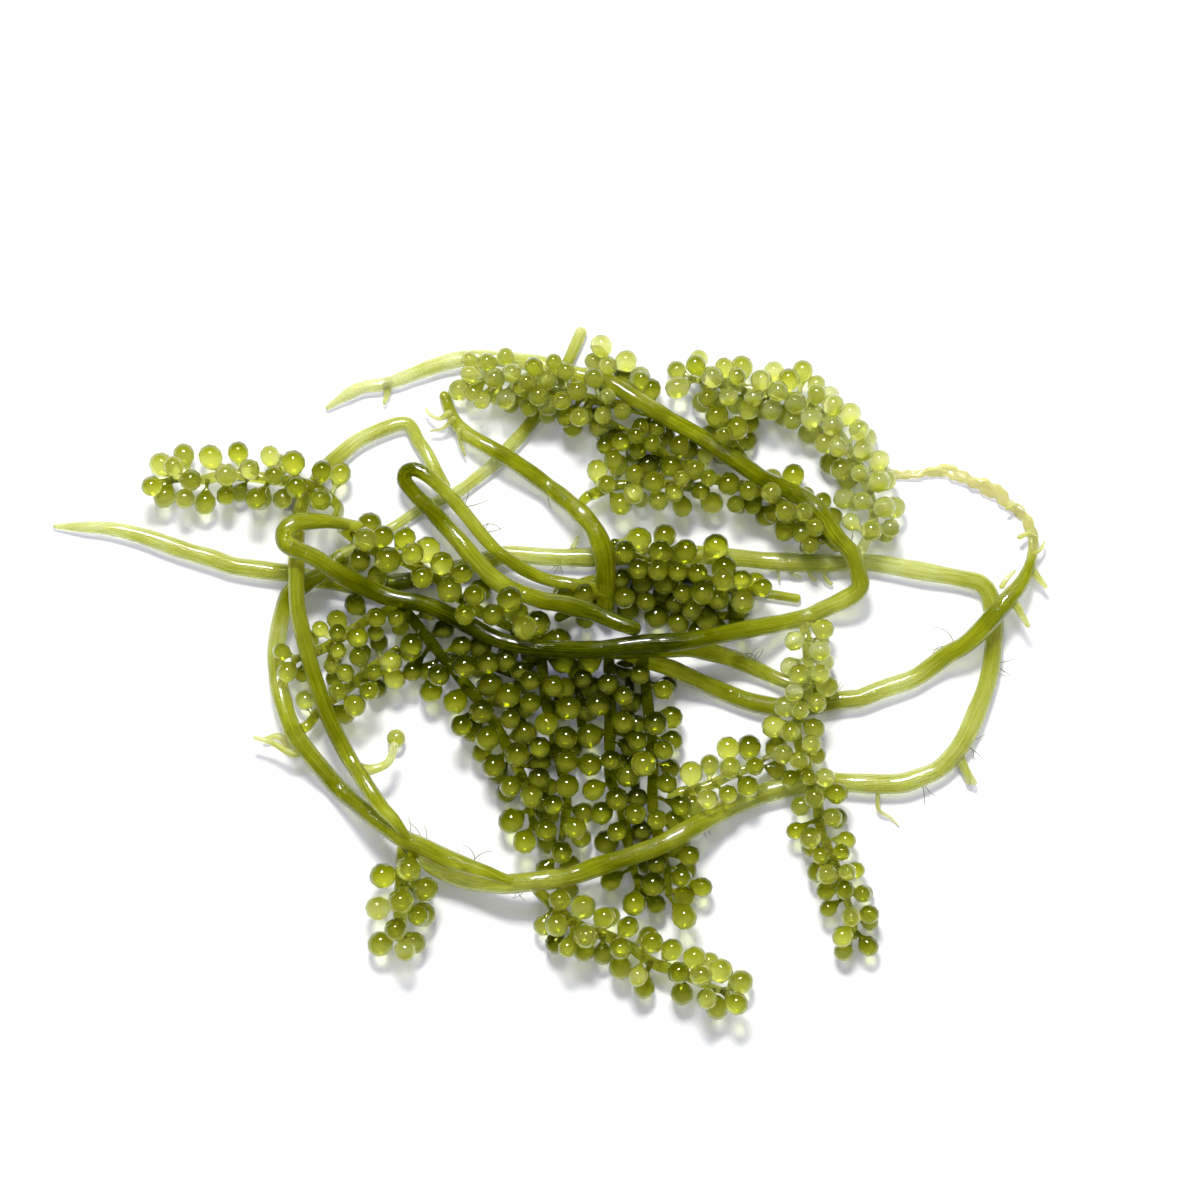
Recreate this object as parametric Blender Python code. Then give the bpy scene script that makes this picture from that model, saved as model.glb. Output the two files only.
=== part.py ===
"""Sea grapes, a loose tangle of one fresh seaweed lying on a flat surface.

Round runners loop over each other, and fronds grow from them: thin stems set all
round with small stalked berries. Every strand is drawn as it lies, seen from
above, and its height follows from what it lies on. Metres, +Z up, and the
surface is z = 0.
"""

import math

import bmesh
import bpy
import numpy as np
from mathutils import Matrix, Vector

MM = 0.001
OBJECT_NAME = "sea_grapes"

# Strands, in millimetres
SAMPLE_STEP = 0.5  # spacing of the points that the rules below work on
CURVE_READINGS = 16  # readings of a route's curve between two of its drawn points
RING_STEP = 3.0  # longest stretch of tube between two rings
RING_TURN = math.radians(24)  # most that a tube turns between two rings
RING_SHORT = 0.8  # shortest stretch between two rings
ROUND_UP = 1.05  # a six-sided tube is drawn this much wider, to look as thick as a round one
STRAND_GAP = 0.34  # room left between two strands that cross
STEM_LIFT = 2.3  # a frond's stem lies this high, on its own berries
STEM_TAPER = ((0, 1), (0.75, 1), (1, 0.55))  # share of a stem's length, share of its diameter
REST_SINK = 0.86  # a runner's axis lies this share of its radius high, with a flat under it
RISE_BEND = 0.05  # how sharply a strand bends over another: fall in mm per mm squared
RISE_SOFT = 1.2  # length over which its height is smoothed

SAME_POINT = 0.01  # points of a tube nearer than this are one

# Berries, in millimetres
SPARSER = 1.36  # these solids hold fewer berries than the plant, this much further apart
BARE_BASE = 1.0  # stem with no berries above its base
GOLDEN_TURN = math.radians(137.5)  # turn round the stem from one berry to the next
STATION_DRAW = 0.3  # a berry's place is drawn within this share of the spacing
TURN_DRAW = 0.35  # and its turn round the stem within this many radians
SIZE_DRAW = (0.84, 1.12)  # shares of the frond's berry radius
REACH_DRAW = (0.92, 1.16)  # shares of the frond's distance from stem to berry centre
BALL_ROUND_UP = 1.06  # a twenty-sided berry is drawn this much wider, to look as big as a round one
STALK_RADIUS = 0.27
STALK_STATIONS = (0.35, 0.6)  # shares of a stalk where its room is tested
LEAN = math.radians(18)  # berries lean to the tip
TIP_LEAN = math.radians(62)  # and more so on the last stretch
TIP_LENGTH = 2.5
NEIGHBOUR_GAP = 0.26  # room left to other fronds and runners
SISTER_GAP = 0.17  # room left to berries of the same frond
FLOOR_GAP = 0.08
TURNS_TRIED = tuple(math.radians(a) for a in (0, 35, -35, 70, -70, 105, -105, 140, -140, 180))
REACHES_TRIED = (1.0, 1.22, 0.86)

WET_ROUGHNESS = 0.22
LEAF_GREEN = "#8a9a1c"
DEEP_GREEN = "#66760f"
PALE_GREEN = "#a9b545"

# Side shoots of a runner: route as seen from above, and the diameter at each end.
LOOP_SHOOTS = (
    (((45.0, -9.4), (45.6, -10.9), (46.6, -12.4)), 1.2, 0.6),
    (((2.4, 12.4), (2.6, 13.6), (3.1, 14.6)), 1.0, 0.4),
)
LEFT_SHOOTS = ((((-26.8, -8.8), (-28.2, -9.2), (-30.4, -8.0), (-32.3, -7.4)), 1.0, 0.5),)
ARM_SHOOTS = (
    (((52.6, 11.4), (53.4, 10.4), (54.4, 9.2)), 1.2, 0.5),
    (((50.4, 8.1), (51.3, 6.8), (52.4, 4.9)), 1.2, 0.5),
)
UPRIGHT_SHOOTS = ((((-21.2, -10.8), (-19.6, -10.9), (-17.7, -10.1), (-17.0, -8.2)), 0.9, 0.7),)
LONG_SHOOTS = ((((-17.9, 31.4), (-17.9, 30.4), (-18.2, 29.4)), 1.2, 0.5),)


def runner(name, colour, diameters, route, shoots=()):
    """A bare strand. Diameters are (share of the length, mm) pairs."""
    return {
        "name": name,
        "colour": colour,
        "diameters": diameters,
        "route": route,
        "shoots": shoots,
        "berry": 0,
    }


def frond(name, colour, seed, stem, berry, pitch, reach, route):
    """A stem with berries, from base to tip: diameters of both, berry spacing, and stem to berry centre."""
    return {
        "name": name,
        "colour": colour,
        "seed": seed,
        "diameters": tuple((place, share * stem) for place, share in STEM_TAPER),
        "berry": berry,
        "pitch": pitch,
        "reach": reach,
        "route": route,
        "shoots": (),
    }


# Every strand in the order in which it lies, lowest first, as (x, y) points in
# millimetres seen from above.
STRANDS = (
    frond("frond_heart_1", DEEP_GREEN, 41, 1.3, 2.4, 0.86, 2.3,
          ((-13, 3), (-11, 0.5), (-8.5, -2.5), (-6, -6), (-3.9, -10), (-2.6, -13), (-1.8, -17.2))),
    frond("frond_heart_3", DEEP_GREEN, 43, 1.3, 2.45, 0.86, 2.3,
          ((6.5, -0.5), (6.6, -5), (6.6, -11.6), (7.6, -14), (8.2, -17), (9, -21), (9.8, -24))),
    frond("frond_heart_2", DEEP_GREEN, 47, 1.2, 2.45, 0.86, 2.4,
          ((-0.8, 0), (-0.4, -3.5), (0.4, -7), (1.2, -10.5), (1.8, -13.5), (1.6, -16.8), (1, -19.8))),
    frond("frond_heart_4", DEEP_GREEN, 54, 1.3, 2.45, 0.9, 2.3,
          ((10.4, -0.6), (10.9, -5), (11.3, -10.5), (11.3, -15), (12, -18.6), (12.8, -21.7), (13, -24.6))),
    frond("frond_lower_left", LEAF_GREEN, 45, 1.6, 2.5, 0.85, 2.35,
          ((-16, -19.3), (-16.2, -21.3), (-16.3, -24), (-16.4, -26.7), (-16.5, -29.4))),
    frond("frond_bottom", LEAF_GREEN, 46, 1.3, 2.4, 1.05, 2.4,
          ((-1.2, -24.3), (0.3, -25.7), (3, -27.9), (6.6, -29.3), (8.6, -30.2), (10.2, -31.4),
           (11.9, -32.4), (14.2, -33.1), (16, -34), (17.8, -34.8), (19.4, -35.3))),
    frond("frond_under_arm", LEAF_GREEN, 57, 1.2, 2.3, 1.1, 2.3,
          ((13.8, -13.6), (15.3, -13.2), (17.6, -12.6), (19.8, -11.5), (22, -10.6), (23.4, -9.8))),
    frond("frond_left_inner_2", DEEP_GREEN, 48, 1.2, 2.1, 1.15, 2.2,
          ((-26.4, -5.9), (-24.7, -3.8), (-23.1, -2.7), (-20.9, -0.9), (-19.1, 0.5), (-16.9, 2.4))),
    frond("frond_left_inner_1", DEEP_GREEN, 49, 1.2, 2.0, 1.15, 2.1,
          ((-15.5, 7.3), (-17.5, 6.6), (-19.3, 5.9), (-21.1, 4.8), (-24.3, 2.7), (-26.1, 1.8), (-28.1, 1.2))),
    runner("runner_outer_loop", LEAF_GREEN,
           ((0, 0.5), (0.02, 1.4), (0.08, 2.0), (0.55, 2.0), (0.7, 2.2), (0.95, 2.2), (0.985, 1.6), (1, 0.5)),
           ((-54.4, 15.8), (-49, 15.6), (-45, 14.8), (-40, 13.1), (-36.9, 12.2), (-35, 11.5), (-32.4, 11.1),
            (-28.7, 10.6), (-26, 10), (-23, 9.6), (-20, 9.2), (-16, 9.7), (-12, 10.5), (-7, 12), (-4.5, 12.7),
            (0.4, 12.4), (6, 12.4), (12, 12.6), (17, 12.6), (20.7, 12.3), (25, 11.9), (30, 11.7), (35, 11.8),
            (40, 11), (45.5, 10), (47.3, 9.5), (48.2, 8.4), (48.6, 6.8), (48.8, 4.5), (48.7, 2.4), (48.4, 0.1),
            (47.8, -2.2), (47, -4.3), (46.2, -6.2), (45.3, -8), (44.1, -9.6), (42.5, -11), (40.4, -11.9),
            (38.1, -12.5), (33.5, -12.4), (29.4, -12.2), (27.4, -12.6), (25.4, -13), (23.2, -13.6),
            (20.9, -14.6), (18.7, -15.6), (16.4, -16.8), (14.2, -18), (11.9, -19.2), (9.7, -20), (7.5, -20.8),
            (5.2, -21.5), (3, -22.3), (0.7, -22.8), (-2.6, -23.2), (-5.3, -23.4), (-8.2, -23.2),
            (-10.4, -22.7), (-12.2, -22), (-13.8, -21.1), (-14.9, -19.9)),
           LOOP_SHOOTS),
    runner("runner_left_loop", LEAF_GREEN, ((0, 1.6), (0.1, 2.0), (0.9, 2.1), (1, 1.6)),
           ((-23, 12.5), (-25, 10.6), (-26.2, 9.9), (-27.5, 9), (-28.7, 8.1), (-29.4, 5.9), (-29.9, 3.6),
            (-30.1, 1.4), (-29.9, -0.9), (-29.4, -3.1), (-28.7, -5.3), (-27.9, -7.1), (-26.6, -8.9),
            (-25, -10.9), (-23.2, -13), (-21.4, -14.5), (-19.6, -15.9), (-17.8, -17.2), (-16, -18.4),
            (-13.8, -19.3), (-11.6, -20.4), (-9.3, -21.3), (-7.1, -22)),
           LEFT_SHOOTS),
    runner("runner_crossing", PALE_GREEN, ((0, 1.3), (0.5, 1.5), (1, 1.1)),
           ((3.4, 37.1), (2.7, 35.5), (1.9, 33.7), (0.9, 31.4), (-0.4, 29.4), (-1.3, 28.3), (-2.4, 26.8),
            (-3.6, 25.4), (-4.7, 24.3), (-6.3, 22.5), (-8.1, 21.1), (-9.8, 19.8), (-12, 18.7), (-14.3, 17.6),
            (-16.5, 16.2))),
    runner("runner_under_middle", DEEP_GREEN, ((0, 1.2), (0.5, 1.4), (1, 1.0)),
           ((0.9, 8.6), (5, 9.9), (9.9, 10.6), (16, 10.1), (21, 8.9), (25.2, 8.2), (27.1, 7.9))),
    runner("runner_left_upright", LEAF_GREEN, ((0, 1.5), (0.08, 1.8), (0.7, 1.8), (1, 1.4)),
           ((-17.4, -15.9), (-18.3, -15), (-19.6, -13.2), (-20.8, -11.4), (-22.1, -9.4), (-23.2, -7.3),
            (-24.3, -4.9), (-25.5, -1.5), (-26.4, 1.5), (-27.2, 4.8), (-27.6, 7), (-27.7, 9.3), (-27.7, 12.6),
            (-27.6, 15.5), (-27, 18.5), (-25.5, 20.9), (-24.5, 22.3), (-23.1, 23.6), (-21.1, 25.2),
            (-18.6, 26.4), (-16.4, 27.1), (-15.3, 26.8), (-14.6, 25.4), (-13.4, 23.6), (-12.5, 21.8),
            (-11.6, 20.2)),
           UPRIGHT_SHOOTS),
    runner("runner_right_arm", LEAF_GREEN,
           ((0, 1.6), (0.05, 2.0), (0.62, 2.1), (0.68, 1.3), (0.76, 0.9), (0.84, 1.4), (0.92, 1.0), (1, 0.6)),
           ((10, 1.2), (13.1, 0.3), (15.1, -0.6), (17.3, -1.6), (19.6, -2.6), (21.8, -3.4), (24, -3.9),
            (26.3, -4.2), (29, -3.9), (32.1, -3.3), (34, -3.1), (36.3, -2.2), (38.1, -1.6), (40, -0.9),
            (41.8, 0.3), (43.6, 1.7), (45.5, 2.8), (47.3, 4.5), (48.7, 6.1), (50.1, 7.7), (51.5, 9.3),
            (52.4, 10.9), (52.9, 12.3), (53.1, 13.9), (52.9, 15.4), (52.2, 16.7), (51, 17.8), (49.9, 18.8),
            (49, 19.6), (47.8, 20.2), (46.4, 20.6), (45.3, 21.3), (43.6, 21.9), (41.8, 21.8), (40.2, 21.5),
            (38.4, 21.5), (36.5, 21.9)),
           ARM_SHOOTS),
    runner("runner_short_right", LEAF_GREEN, ((0, 1.5), (0.3, 1.9), (0.62, 2.1), (0.7, 1.8), (1, 1.3)),
           ((8, 1.9), (11.7, 2.2), (15.1, 2.4), (17.3, 2), (19.6, 1.4), (21.4, 0.7), (22.9, 0),
            (24.7, -0.8), (26.7, -1.6), (28.3, -2.1))),
    frond("frond_below_hook", PALE_GREEN, 61, 1.2, 2.15, 0.72, 2.15,
          ((4.4, 19.2), (5.4, 19.6), (7, 20.2), (9, 20.4), (11.5, 20.6), (14, 20.2), (16, 19.8))),
    frond("frond_right_middle", DEEP_GREEN, 62, 1.3, 2.3, 0.86, 2.3,
          ((6.5, 15.5), (7.5, 13.3), (10, 12), (12.5, 11.2), (15, 10.8), (17, 10), (19, 9), (20.8, 8.5))),
    frond("frond_long_strand", LEAF_GREEN, 63, 1.3, 1.9, 1.45, 2.1,
          ((31.3, 13.7), (29.5, 15.3), (27.7, 16.6), (25.4, 18.2), (23.2, 19.5), (21, 20.2), (18.7, 20.8),
           (16.9, 21.4), (15.1, 22.2), (13.1, 23.1), (11.5, 24.3), (9.7, 25.4), (8.2, 26.3), (6.5, 27.3))),
    frond("frond_top_inner", LEAF_GREEN, 64, 1.1, 2.05, 0.95, 2.1,
          ((21.5, 22.9), (20.3, 24.4), (19.5, 26), (19, 28), (18.5, 30.3))),
    frond("frond_upper_middle", PALE_GREEN, 65, 1.2, 1.85, 0.95, 2.3,
          ((12.3, 28), (9.7, 28.6), (7, 29.2), (4, 29.9), (1, 30.8), (-1.8, 31.7), (-3.6, 31.9), (-5, 32),
           (-7.2, 32))),
    frond("frond_top_right", LEAF_GREEN, 66, 1.2, 2.0, 1.05, 2.3,
          ((34.2, 13.3), (34.8, 14.5), (35.5, 16.5), (35.3, 18.5), (34.4, 21.3), (33.3, 23.3), (32.3, 25),
           (31, 26.8), (29.5, 28.3), (27, 29.8), (24.5, 30.4), (22, 30.8), (19.5, 31.2), (17.5, 31.5),
           (15.5, 32))),
    frond("frond_centre_left", DEEP_GREEN, 67, 1.3, 2.4, 0.9, 2.45,
          ((-22.6, 15.4), (-20, 13.5), (-16, 12), (-12, 9.8), (-10, 8), (-7.5, 6.3), (-4.5, 4.8), (-2.4, 3.4))),
    runner("runner_hook", LEAF_GREEN, ((0, 1.2), (0.15, 1.6), (0.4, 1.9), (0.9, 2.3), (1, 1.9)),
           ((-11.6, 30.1), (-10.9, 28.3), (-10.3, 27.2), (-9.2, 26), (-7.6, 25), (-5.8, 24), (-4, 22.9),
            (-1.8, 21.4), (0.5, 19.6), (2.5, 18), (4.3, 16.2), (5.4, 14.4), (6, 12.2), (6.1, 9.3),
            (6.1, 7))),
    runner("runner_long_top", LEAF_GREEN,
           ((0, 0.6), (0.02, 1.4), (0.1, 1.8), (0.4, 2.0), (0.96, 2.0), (1, 1.2)),
           ((-24.4, 28.9), (-22.6, 30.1), (-20.6, 31.1), (-19, 31.3), (-17, 31.8), (-15.2, 32.5),
            (-12.5, 33.5), (-9.8, 34.2), (-7.4, 34.3), (-4.7, 34.1), (-1.8, 33.7), (0.5, 33.2), (2.7, 32.5),
            (5.2, 32), (7, 31.3), (8.8, 30.1), (10.6, 29), (12.9, 27.6), (14.7, 26.6), (16.5, 25.6),
            (18.3, 24.3), (20, 23.2), (21.8, 22), (23.2, 21.1), (25.4, 20), (27.2, 19.2), (28.8, 18.1),
            (30.1, 16.6), (31.3, 14.7), (32.9, 13), (33.5, 11.6), (33.9, 10), (33.9, 8.9), (32.6, 7.9),
            (30.3, 6.8), (28, 5.8), (25, 5.1), (20, 4.2), (15, 3.2), (10, 2.9), (5, 2.3), (0.4, 2.3),
            (-1.8, 2.5), (-4.5, 3), (-6.3, 3.6), (-8.6, 4.8), (-10.8, 6), (-13.1, 7), (-15.3, 7.6),
            (-17.5, 8), (-19.8, 8.9), (-22, 10), (-23.8, 11.1), (-25.8, 12.4), (-28.1, 13.4),
            (-29, 14.3), (-28.7, 15.4), (-27.6, 16.1), (-24.6, 16.3), (-21, 15.8)),
           LONG_SHOOTS),
    runner("runner_folded", LEAF_GREEN, ((0, 1.6), (0.06, 2.0), (0.45, 2.0), (0.6, 1.6), (1, 1.4)),
           ((9.2, 4.6), (7.2, 5.3), (5.2, 6.2), (3.2, 6.8), (1.3, 7.3), (-0.6, 7.6), (-2.5, 8.2),
            (-4.6, 9), (-6.5, 10.3), (-8.2, 12.1), (-9.9, 14.1), (-11.6, 16), (-13.3, 17.8),
            (-15, 19.5), (-16, 21), (-15.5, 22), (-14.2, 21.8), (-12.4, 20.5), (-10.6, 18.7),
            (-9, 16.8), (-7.4, 14.8), (-5.9, 13.2), (-4.2, 11.9), (-2.2, 10.7), (-0.2, 9.9), (1.8, 9.5))),
    frond("frond_left", PALE_GREEN, 71, 1.3, 2.3, 0.98, 2.4,
          ((-23.4, 18.2), (-24.6, 19.3), (-26.8, 20.4), (-30.2, 20.9), (-33.6, 21.4), (-35.8, 21.4),
           (-38, 20.9), (-40.3, 21), (-42, 20.8))),
    frond("frond_right_lower", LEAF_GREEN, 72, 1.2, 2.1, 1.02, 2.1,
          ((28.2, 3), (28.4, 0.3), (28.3, -1.9), (27.6, -4), (27, -6.3), (27.5, -8.7), (28.2, -10.5),
           (28.6, -12.1), (29.3, -14.1), (29.6, -16.8), (30.4, -19.3), (31.3, -21.3), (32.1, -23.6),
           (32.7, -25.6), (33.3, -27.4), (33.5, -29.2))),
)


def smooth_route(points, step):
    """A Catmull-Rom curve through the points, read at even steps along its length."""
    p = np.array(points, float)
    p = np.vstack([2 * p[0] - p[1], p, 2 * p[-1] - p[-2]])
    a, b, c, d = p[:-3, None], p[1:-2, None], p[2:-1, None], p[3:, None]
    t = np.linspace(0, 1, CURVE_READINGS, endpoint=False)[None, :, None]
    curve = b + 0.5 * ((c - a) * t + (2 * a - 5 * b + 4 * c - d) * t**2 + (3 * b - a - 3 * c + d) * t**3)
    curve = np.vstack([curve.reshape(-1, p.shape[1]), p[-2]])
    gone = distance_along(curve)
    even = np.linspace(0, gone[-1], max(int(round(gone[-1] / step)), 2) + 1)
    return np.column_stack([np.interp(even, gone, curve[:, k]) for k in range(p.shape[1])])


def distance_along(path):
    return np.concatenate([[0], np.cumsum(np.linalg.norm(np.diff(path, axis=0), axis=1))])


def rise_over(need, along):
    """Lowest heights that bend no sharper than a parabola and clear every needed height, then smoothed."""
    apart = along[:, None] - along[None, :]
    height = (need[None, :] - RISE_BEND * apart**2).max(axis=1)
    weight = np.exp(-0.5 * (apart / RISE_SOFT) ** 2)
    return weight @ height / weight.sum(axis=1)


def lay_strands():
    """Lays the strands one after another, each over those before it. Returns them with path and radii."""
    laid = np.empty((0, 4))
    strands = []
    for plan in STRANDS:
        flat = smooth_route(plan["route"], SAMPLE_STEP)
        along = distance_along(flat)
        shares, diameters = zip(*plan["diameters"])
        radii = 0.5 * np.interp(along / along[-1], shares, diameters)
        need = np.full(len(flat), STEM_LIFT) if plan["berry"] else REST_SINK * radii
        if len(laid):
            apart = np.linalg.norm(flat[:, None] - laid[None, :, :2], axis=2)
            clear = radii[:, None] + laid[None, :, 3] + STRAND_GAP
            lift = np.sqrt(np.maximum(clear**2 - apart**2, 0))
            over = np.where(apart < clear, laid[None, :, 2] + lift, 0)
            need = np.maximum(need, over.max(axis=1))
        path = np.column_stack([flat, rise_over(need, along)])
        laid = np.vstack([laid, np.column_stack([path, radii])])
        strands.append({**plan, "path": path, "radii": radii, "along": along})
    return strands


class Room:
    """What fills the space, as balls: centre, radius, the strand that owns it, and whether it is stem."""

    def __init__(self, strands):
        self.balls = np.vstack([
            np.column_stack([s["path"], s["radii"], np.full(len(s["path"]), i), np.ones(len(s["path"]))])
            for i, s in enumerate(strands)
        ])

    def add(self, centre, radius, owner):
        self.balls = np.vstack([self.balls, [*centre, radius, owner, 0]])

    def is_free(self, centre, radius, owner, beside_stem):
        apart = np.linalg.norm(self.balls[:, :3] - centre, axis=1) - self.balls[:, 3] - radius
        own = self.balls[:, 4] == owner
        stem = self.balls[:, 5] == 1
        if (apart[~own] < NEIGHBOUR_GAP).any():
            return False
        if (apart[own & ~stem] < SISTER_GAP).any():
            return False
        return beside_stem or not (apart[own & stem] < SISTER_GAP).any()


def stem_frame(path, place):
    """Tangent, side and up of a path near one of its points."""
    tangent = path[min(place + 1, len(path) - 1)] - path[max(place - 1, 0)]
    tangent /= np.linalg.norm(tangent)
    side = np.cross((0, 0, 1), tangent)
    side /= np.linalg.norm(side)
    return tangent, side, np.cross(tangent, side)


def grow_berries(owner, strand, room):
    """Berries as (root, centre, radius): spaced along the stem and turned on by the golden angle.

    A berry whose place is taken turns round the stem, or reaches further, until it is
    clear, and one that finds no room is left out.
    """
    draw = np.random.default_rng(strand["seed"])
    path, along = strand["path"], strand["along"]
    pitch = SPARSER * strand["pitch"]
    berries = []
    for k in range(int((along[-1] - BARE_BASE) / pitch) + 1):
        station = BARE_BASE + (k + draw.uniform(-STATION_DRAW, STATION_DRAW)) * pitch
        turn = k * GOLDEN_TURN + draw.uniform(-TURN_DRAW, TURN_DRAW)
        radius = 0.5 * strand["berry"] * draw.uniform(*SIZE_DRAW)
        reach = strand["reach"] * draw.uniform(*REACH_DRAW)
        place = int(np.clip(np.searchsorted(along, station), 1, len(path) - 1))
        tangent, side, up = stem_frame(path, place)
        near_tip = np.clip(1 - (along[-1] - station) / TIP_LENGTH, 0, 1)
        lean = LEAN + near_tip * (TIP_LEAN - LEAN)
        found = find_place(path[place], (tangent, side, up), turn, lean, radius, reach, owner, room)
        if found is not None:
            room.add(found, radius, owner)
            for share in STALK_STATIONS:
                room.add(path[place] + share * (found - path[place]), STALK_RADIUS, owner)
            berries.append((path[place], found, radius))
    return berries


def find_place(root, frame, turn, lean, radius, reach, owner, room):
    tangent, side, up = frame
    for stretch in REACHES_TRIED:
        for more in TURNS_TRIED:
            out = math.cos(turn + more) * side + math.sin(turn + more) * up
            way = math.cos(lean) * out + math.sin(lean) * tangent
            centre = root + stretch * reach * way
            if centre[2] < radius + FLOOR_GAP:
                continue
            if not room.is_free(centre, radius, owner, False):
                continue
            if all(
                room.is_free(root + share * (centre - root), STALK_RADIUS, owner, True)
                for share in STALK_STATIONS
            ):
                return centre
    return None


def linear_colour(code):
    """Linear RGBA of an sRGB hex colour."""
    channels = [int(code[i : i + 2], 16) / 255 for i in (1, 3, 5)]
    return [c / 12.92 if c <= 0.04045 else ((c + 0.055) / 1.055) ** 2.4 for c in channels] + [1]


def wet_flesh(name, code):
    """Wet, smooth seaweed flesh of one colour."""
    material = bpy.data.materials.new(name)
    material.use_nodes = True
    shader = material.node_tree.nodes["Principled BSDF"]
    shader.inputs["Base Color"].default_value = linear_colour(code)
    shader.inputs["Roughness"].default_value = WET_ROUGHNESS
    shader.inputs["Metallic"].default_value = 0.0
    return material


def ring_places(path):
    """Points of a path where a tube takes a ring: more of them where it turns."""
    steps = np.diff(path, axis=0)
    steps /= np.linalg.norm(steps, axis=1)[:, None]
    places = [0]
    for i in range(1, len(path) - 1):
        length = (i - places[-1]) * SAMPLE_STEP
        turned = math.acos(np.clip(steps[places[-1]] @ steps[i], -1, 1))
        if length >= RING_STEP or (turned >= RING_TURN and length >= RING_SHORT):
            places.append(i)
    if len(path) - 1 - places[-1] < RING_SHORT / SAMPLE_STEP and len(places) > 1:
        places.pop()
    return places + [len(path) - 1]


def tube(name, path, radii, collection):
    """A closed six-sided tube along a path, kept above the surface that it lies on."""
    places = ring_places(path)
    data = bpy.data.curves.new(name, "CURVE")
    data.dimensions = "3D"
    data.twist_mode = "Z_UP"
    data.bevel_depth = ROUND_UP * MM
    data.bevel_resolution = 1
    data.use_fill_caps = True
    spline = data.splines.new("POLY")
    spline.points.add(len(places) - 1)
    for point, place in zip(spline.points, places):
        point.co = (*(path[place] * MM), 1)
        point.radius = radii[place]
    guide = bpy.data.objects.new(name + "_guide", data)
    collection.objects.link(guide)
    graph = bpy.context.evaluated_depsgraph_get()
    mesh = bpy.data.meshes.new_from_object(guide.evaluated_get(graph))
    solid = bpy.data.objects.new(name, mesh)
    solid.matrix_world = guide.matrix_world
    collection.objects.link(solid)
    bpy.data.objects.remove(guide)
    form = bmesh.new()
    form.from_mesh(mesh)
    bmesh.ops.remove_doubles(form, verts=form.verts, dist=SAME_POINT * MM)
    for vertex in form.verts:
        vertex.co.z = max(vertex.co.z, 0)
    bmesh.ops.recalc_face_normals(form, faces=form.faces)
    bmesh.ops.triangulate(form, faces=form.faces)
    form.to_mesh(mesh)
    form.free()
    return solid


def unit_mesh(name, build):
    """A mesh of unit size, made by one bmesh call, that berries or stalks share."""
    form = bmesh.new()
    build(form)
    mesh = bpy.data.meshes.new(name)
    form.to_mesh(mesh)
    form.free()
    return mesh


def add_berry(root, centre, radius, ball, stalk, collection):
    """One berry with its stalk, which runs from the stem's axis to the berry's middle."""
    root, centre = Vector(root * MM), Vector(centre * MM)
    way = centre - root
    turned = way.to_track_quat("Z", "Y")
    fruit = bpy.data.objects.new("berry", ball)
    fruit.matrix_world = Matrix.LocRotScale(centre, turned, Vector((1, 1, 1)) * radius * MM)
    neck = bpy.data.objects.new("stalk", stalk)
    thick = STALK_RADIUS * MM
    neck.matrix_world = Matrix.LocRotScale(root + way / 2, turned, Vector((thick, thick, way.length)))
    collection.objects.link(fruit)
    collection.objects.link(neck)


def join_repeats(solid, extras):
    """Fuses everything in a collection to one solid with a Boolean union, then removes the collection."""
    if len(extras.objects):
        union = solid.modifiers.new("Grown together", "BOOLEAN")
        union.operation = "UNION"
        union.operand_type = "COLLECTION"
        union.collection = extras
        union.solver = "MANIFOLD"
        bpy.context.view_layer.update()
        graph = bpy.context.evaluated_depsgraph_get()
        joined = bpy.data.meshes.new_from_object(solid.evaluated_get(graph))
        solid.modifiers.clear()
        solid.data = joined
        for helper in list(extras.objects):
            bpy.data.objects.remove(helper)
    bpy.data.collections.remove(extras)


def add_shoots(strand, collection):
    """A runner's side shoots, from its axis outwards at its own height."""
    for route, wide, narrow in strand["shoots"]:
        flat = smooth_route(route, SAMPLE_STEP)
        nearest = np.argmin(np.linalg.norm(strand["path"][:, :2] - flat[0], axis=1))
        height = strand["path"][nearest, 2]
        radii = 0.5 * np.linspace(wide, narrow, len(flat))
        path = np.column_stack([flat, np.full(len(flat), height)])
        tube(strand["name"] + "_shoot", path, radii, collection)


def build_strand(owner, strand, room, ball, stalk, parts):
    solid = tube(strand["name"], strand["path"], strand["radii"], parts)
    extras = bpy.data.collections.new(strand["name"] + "_extras")
    bpy.context.scene.collection.children.link(extras)
    add_shoots(strand, extras)
    if strand["berry"]:
        for berry in grow_berries(owner, strand, room):
            add_berry(*berry, ball, stalk, extras)
    join_repeats(solid, extras)
    solid.data.materials.clear()
    solid.data.materials.append(wet_flesh(strand["name"] + "_flesh", strand["colour"]))
    solid.data.shade_smooth()


def clear_scene():
    for old in list(bpy.data.objects):
        bpy.data.objects.remove(old)


def main():
    clear_scene()
    parts = bpy.data.collections.new(OBJECT_NAME)
    bpy.context.scene.collection.children.link(parts)
    ball = unit_mesh(
        "ball",
        lambda form: bmesh.ops.create_icosphere(form, subdivisions=1, radius=BALL_ROUND_UP),
    )
    stalk = unit_mesh(
        "stalk",
        lambda form: bmesh.ops.create_cone(
            form, cap_ends=True, segments=3, radius1=1, radius2=1, depth=1
        ),
    )
    strands = lay_strands()
    room = Room(strands)
    for owner, strand in enumerate(strands):
        build_strand(owner, strand, room, ball, stalk, parts)


main()
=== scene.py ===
# %% [markdown]
# # Sea grapes
#
# Sea grapes are one green seaweed. Round runners creep over the sand, and fronds grow
# from them: thin stems set all round with small stalked berries. Here a handful of it
# lies in a loose, wet tangle on a white surface.
#
# The solids of the tangle come first. They say where each strand and each frond is,
# how big they are and where they rest. This script dresses each of them with a finer
# surface in the same place, and then lights and frames the tangle as a photograph
# taken from straight above would.

# %% Load the frame
import math

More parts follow.
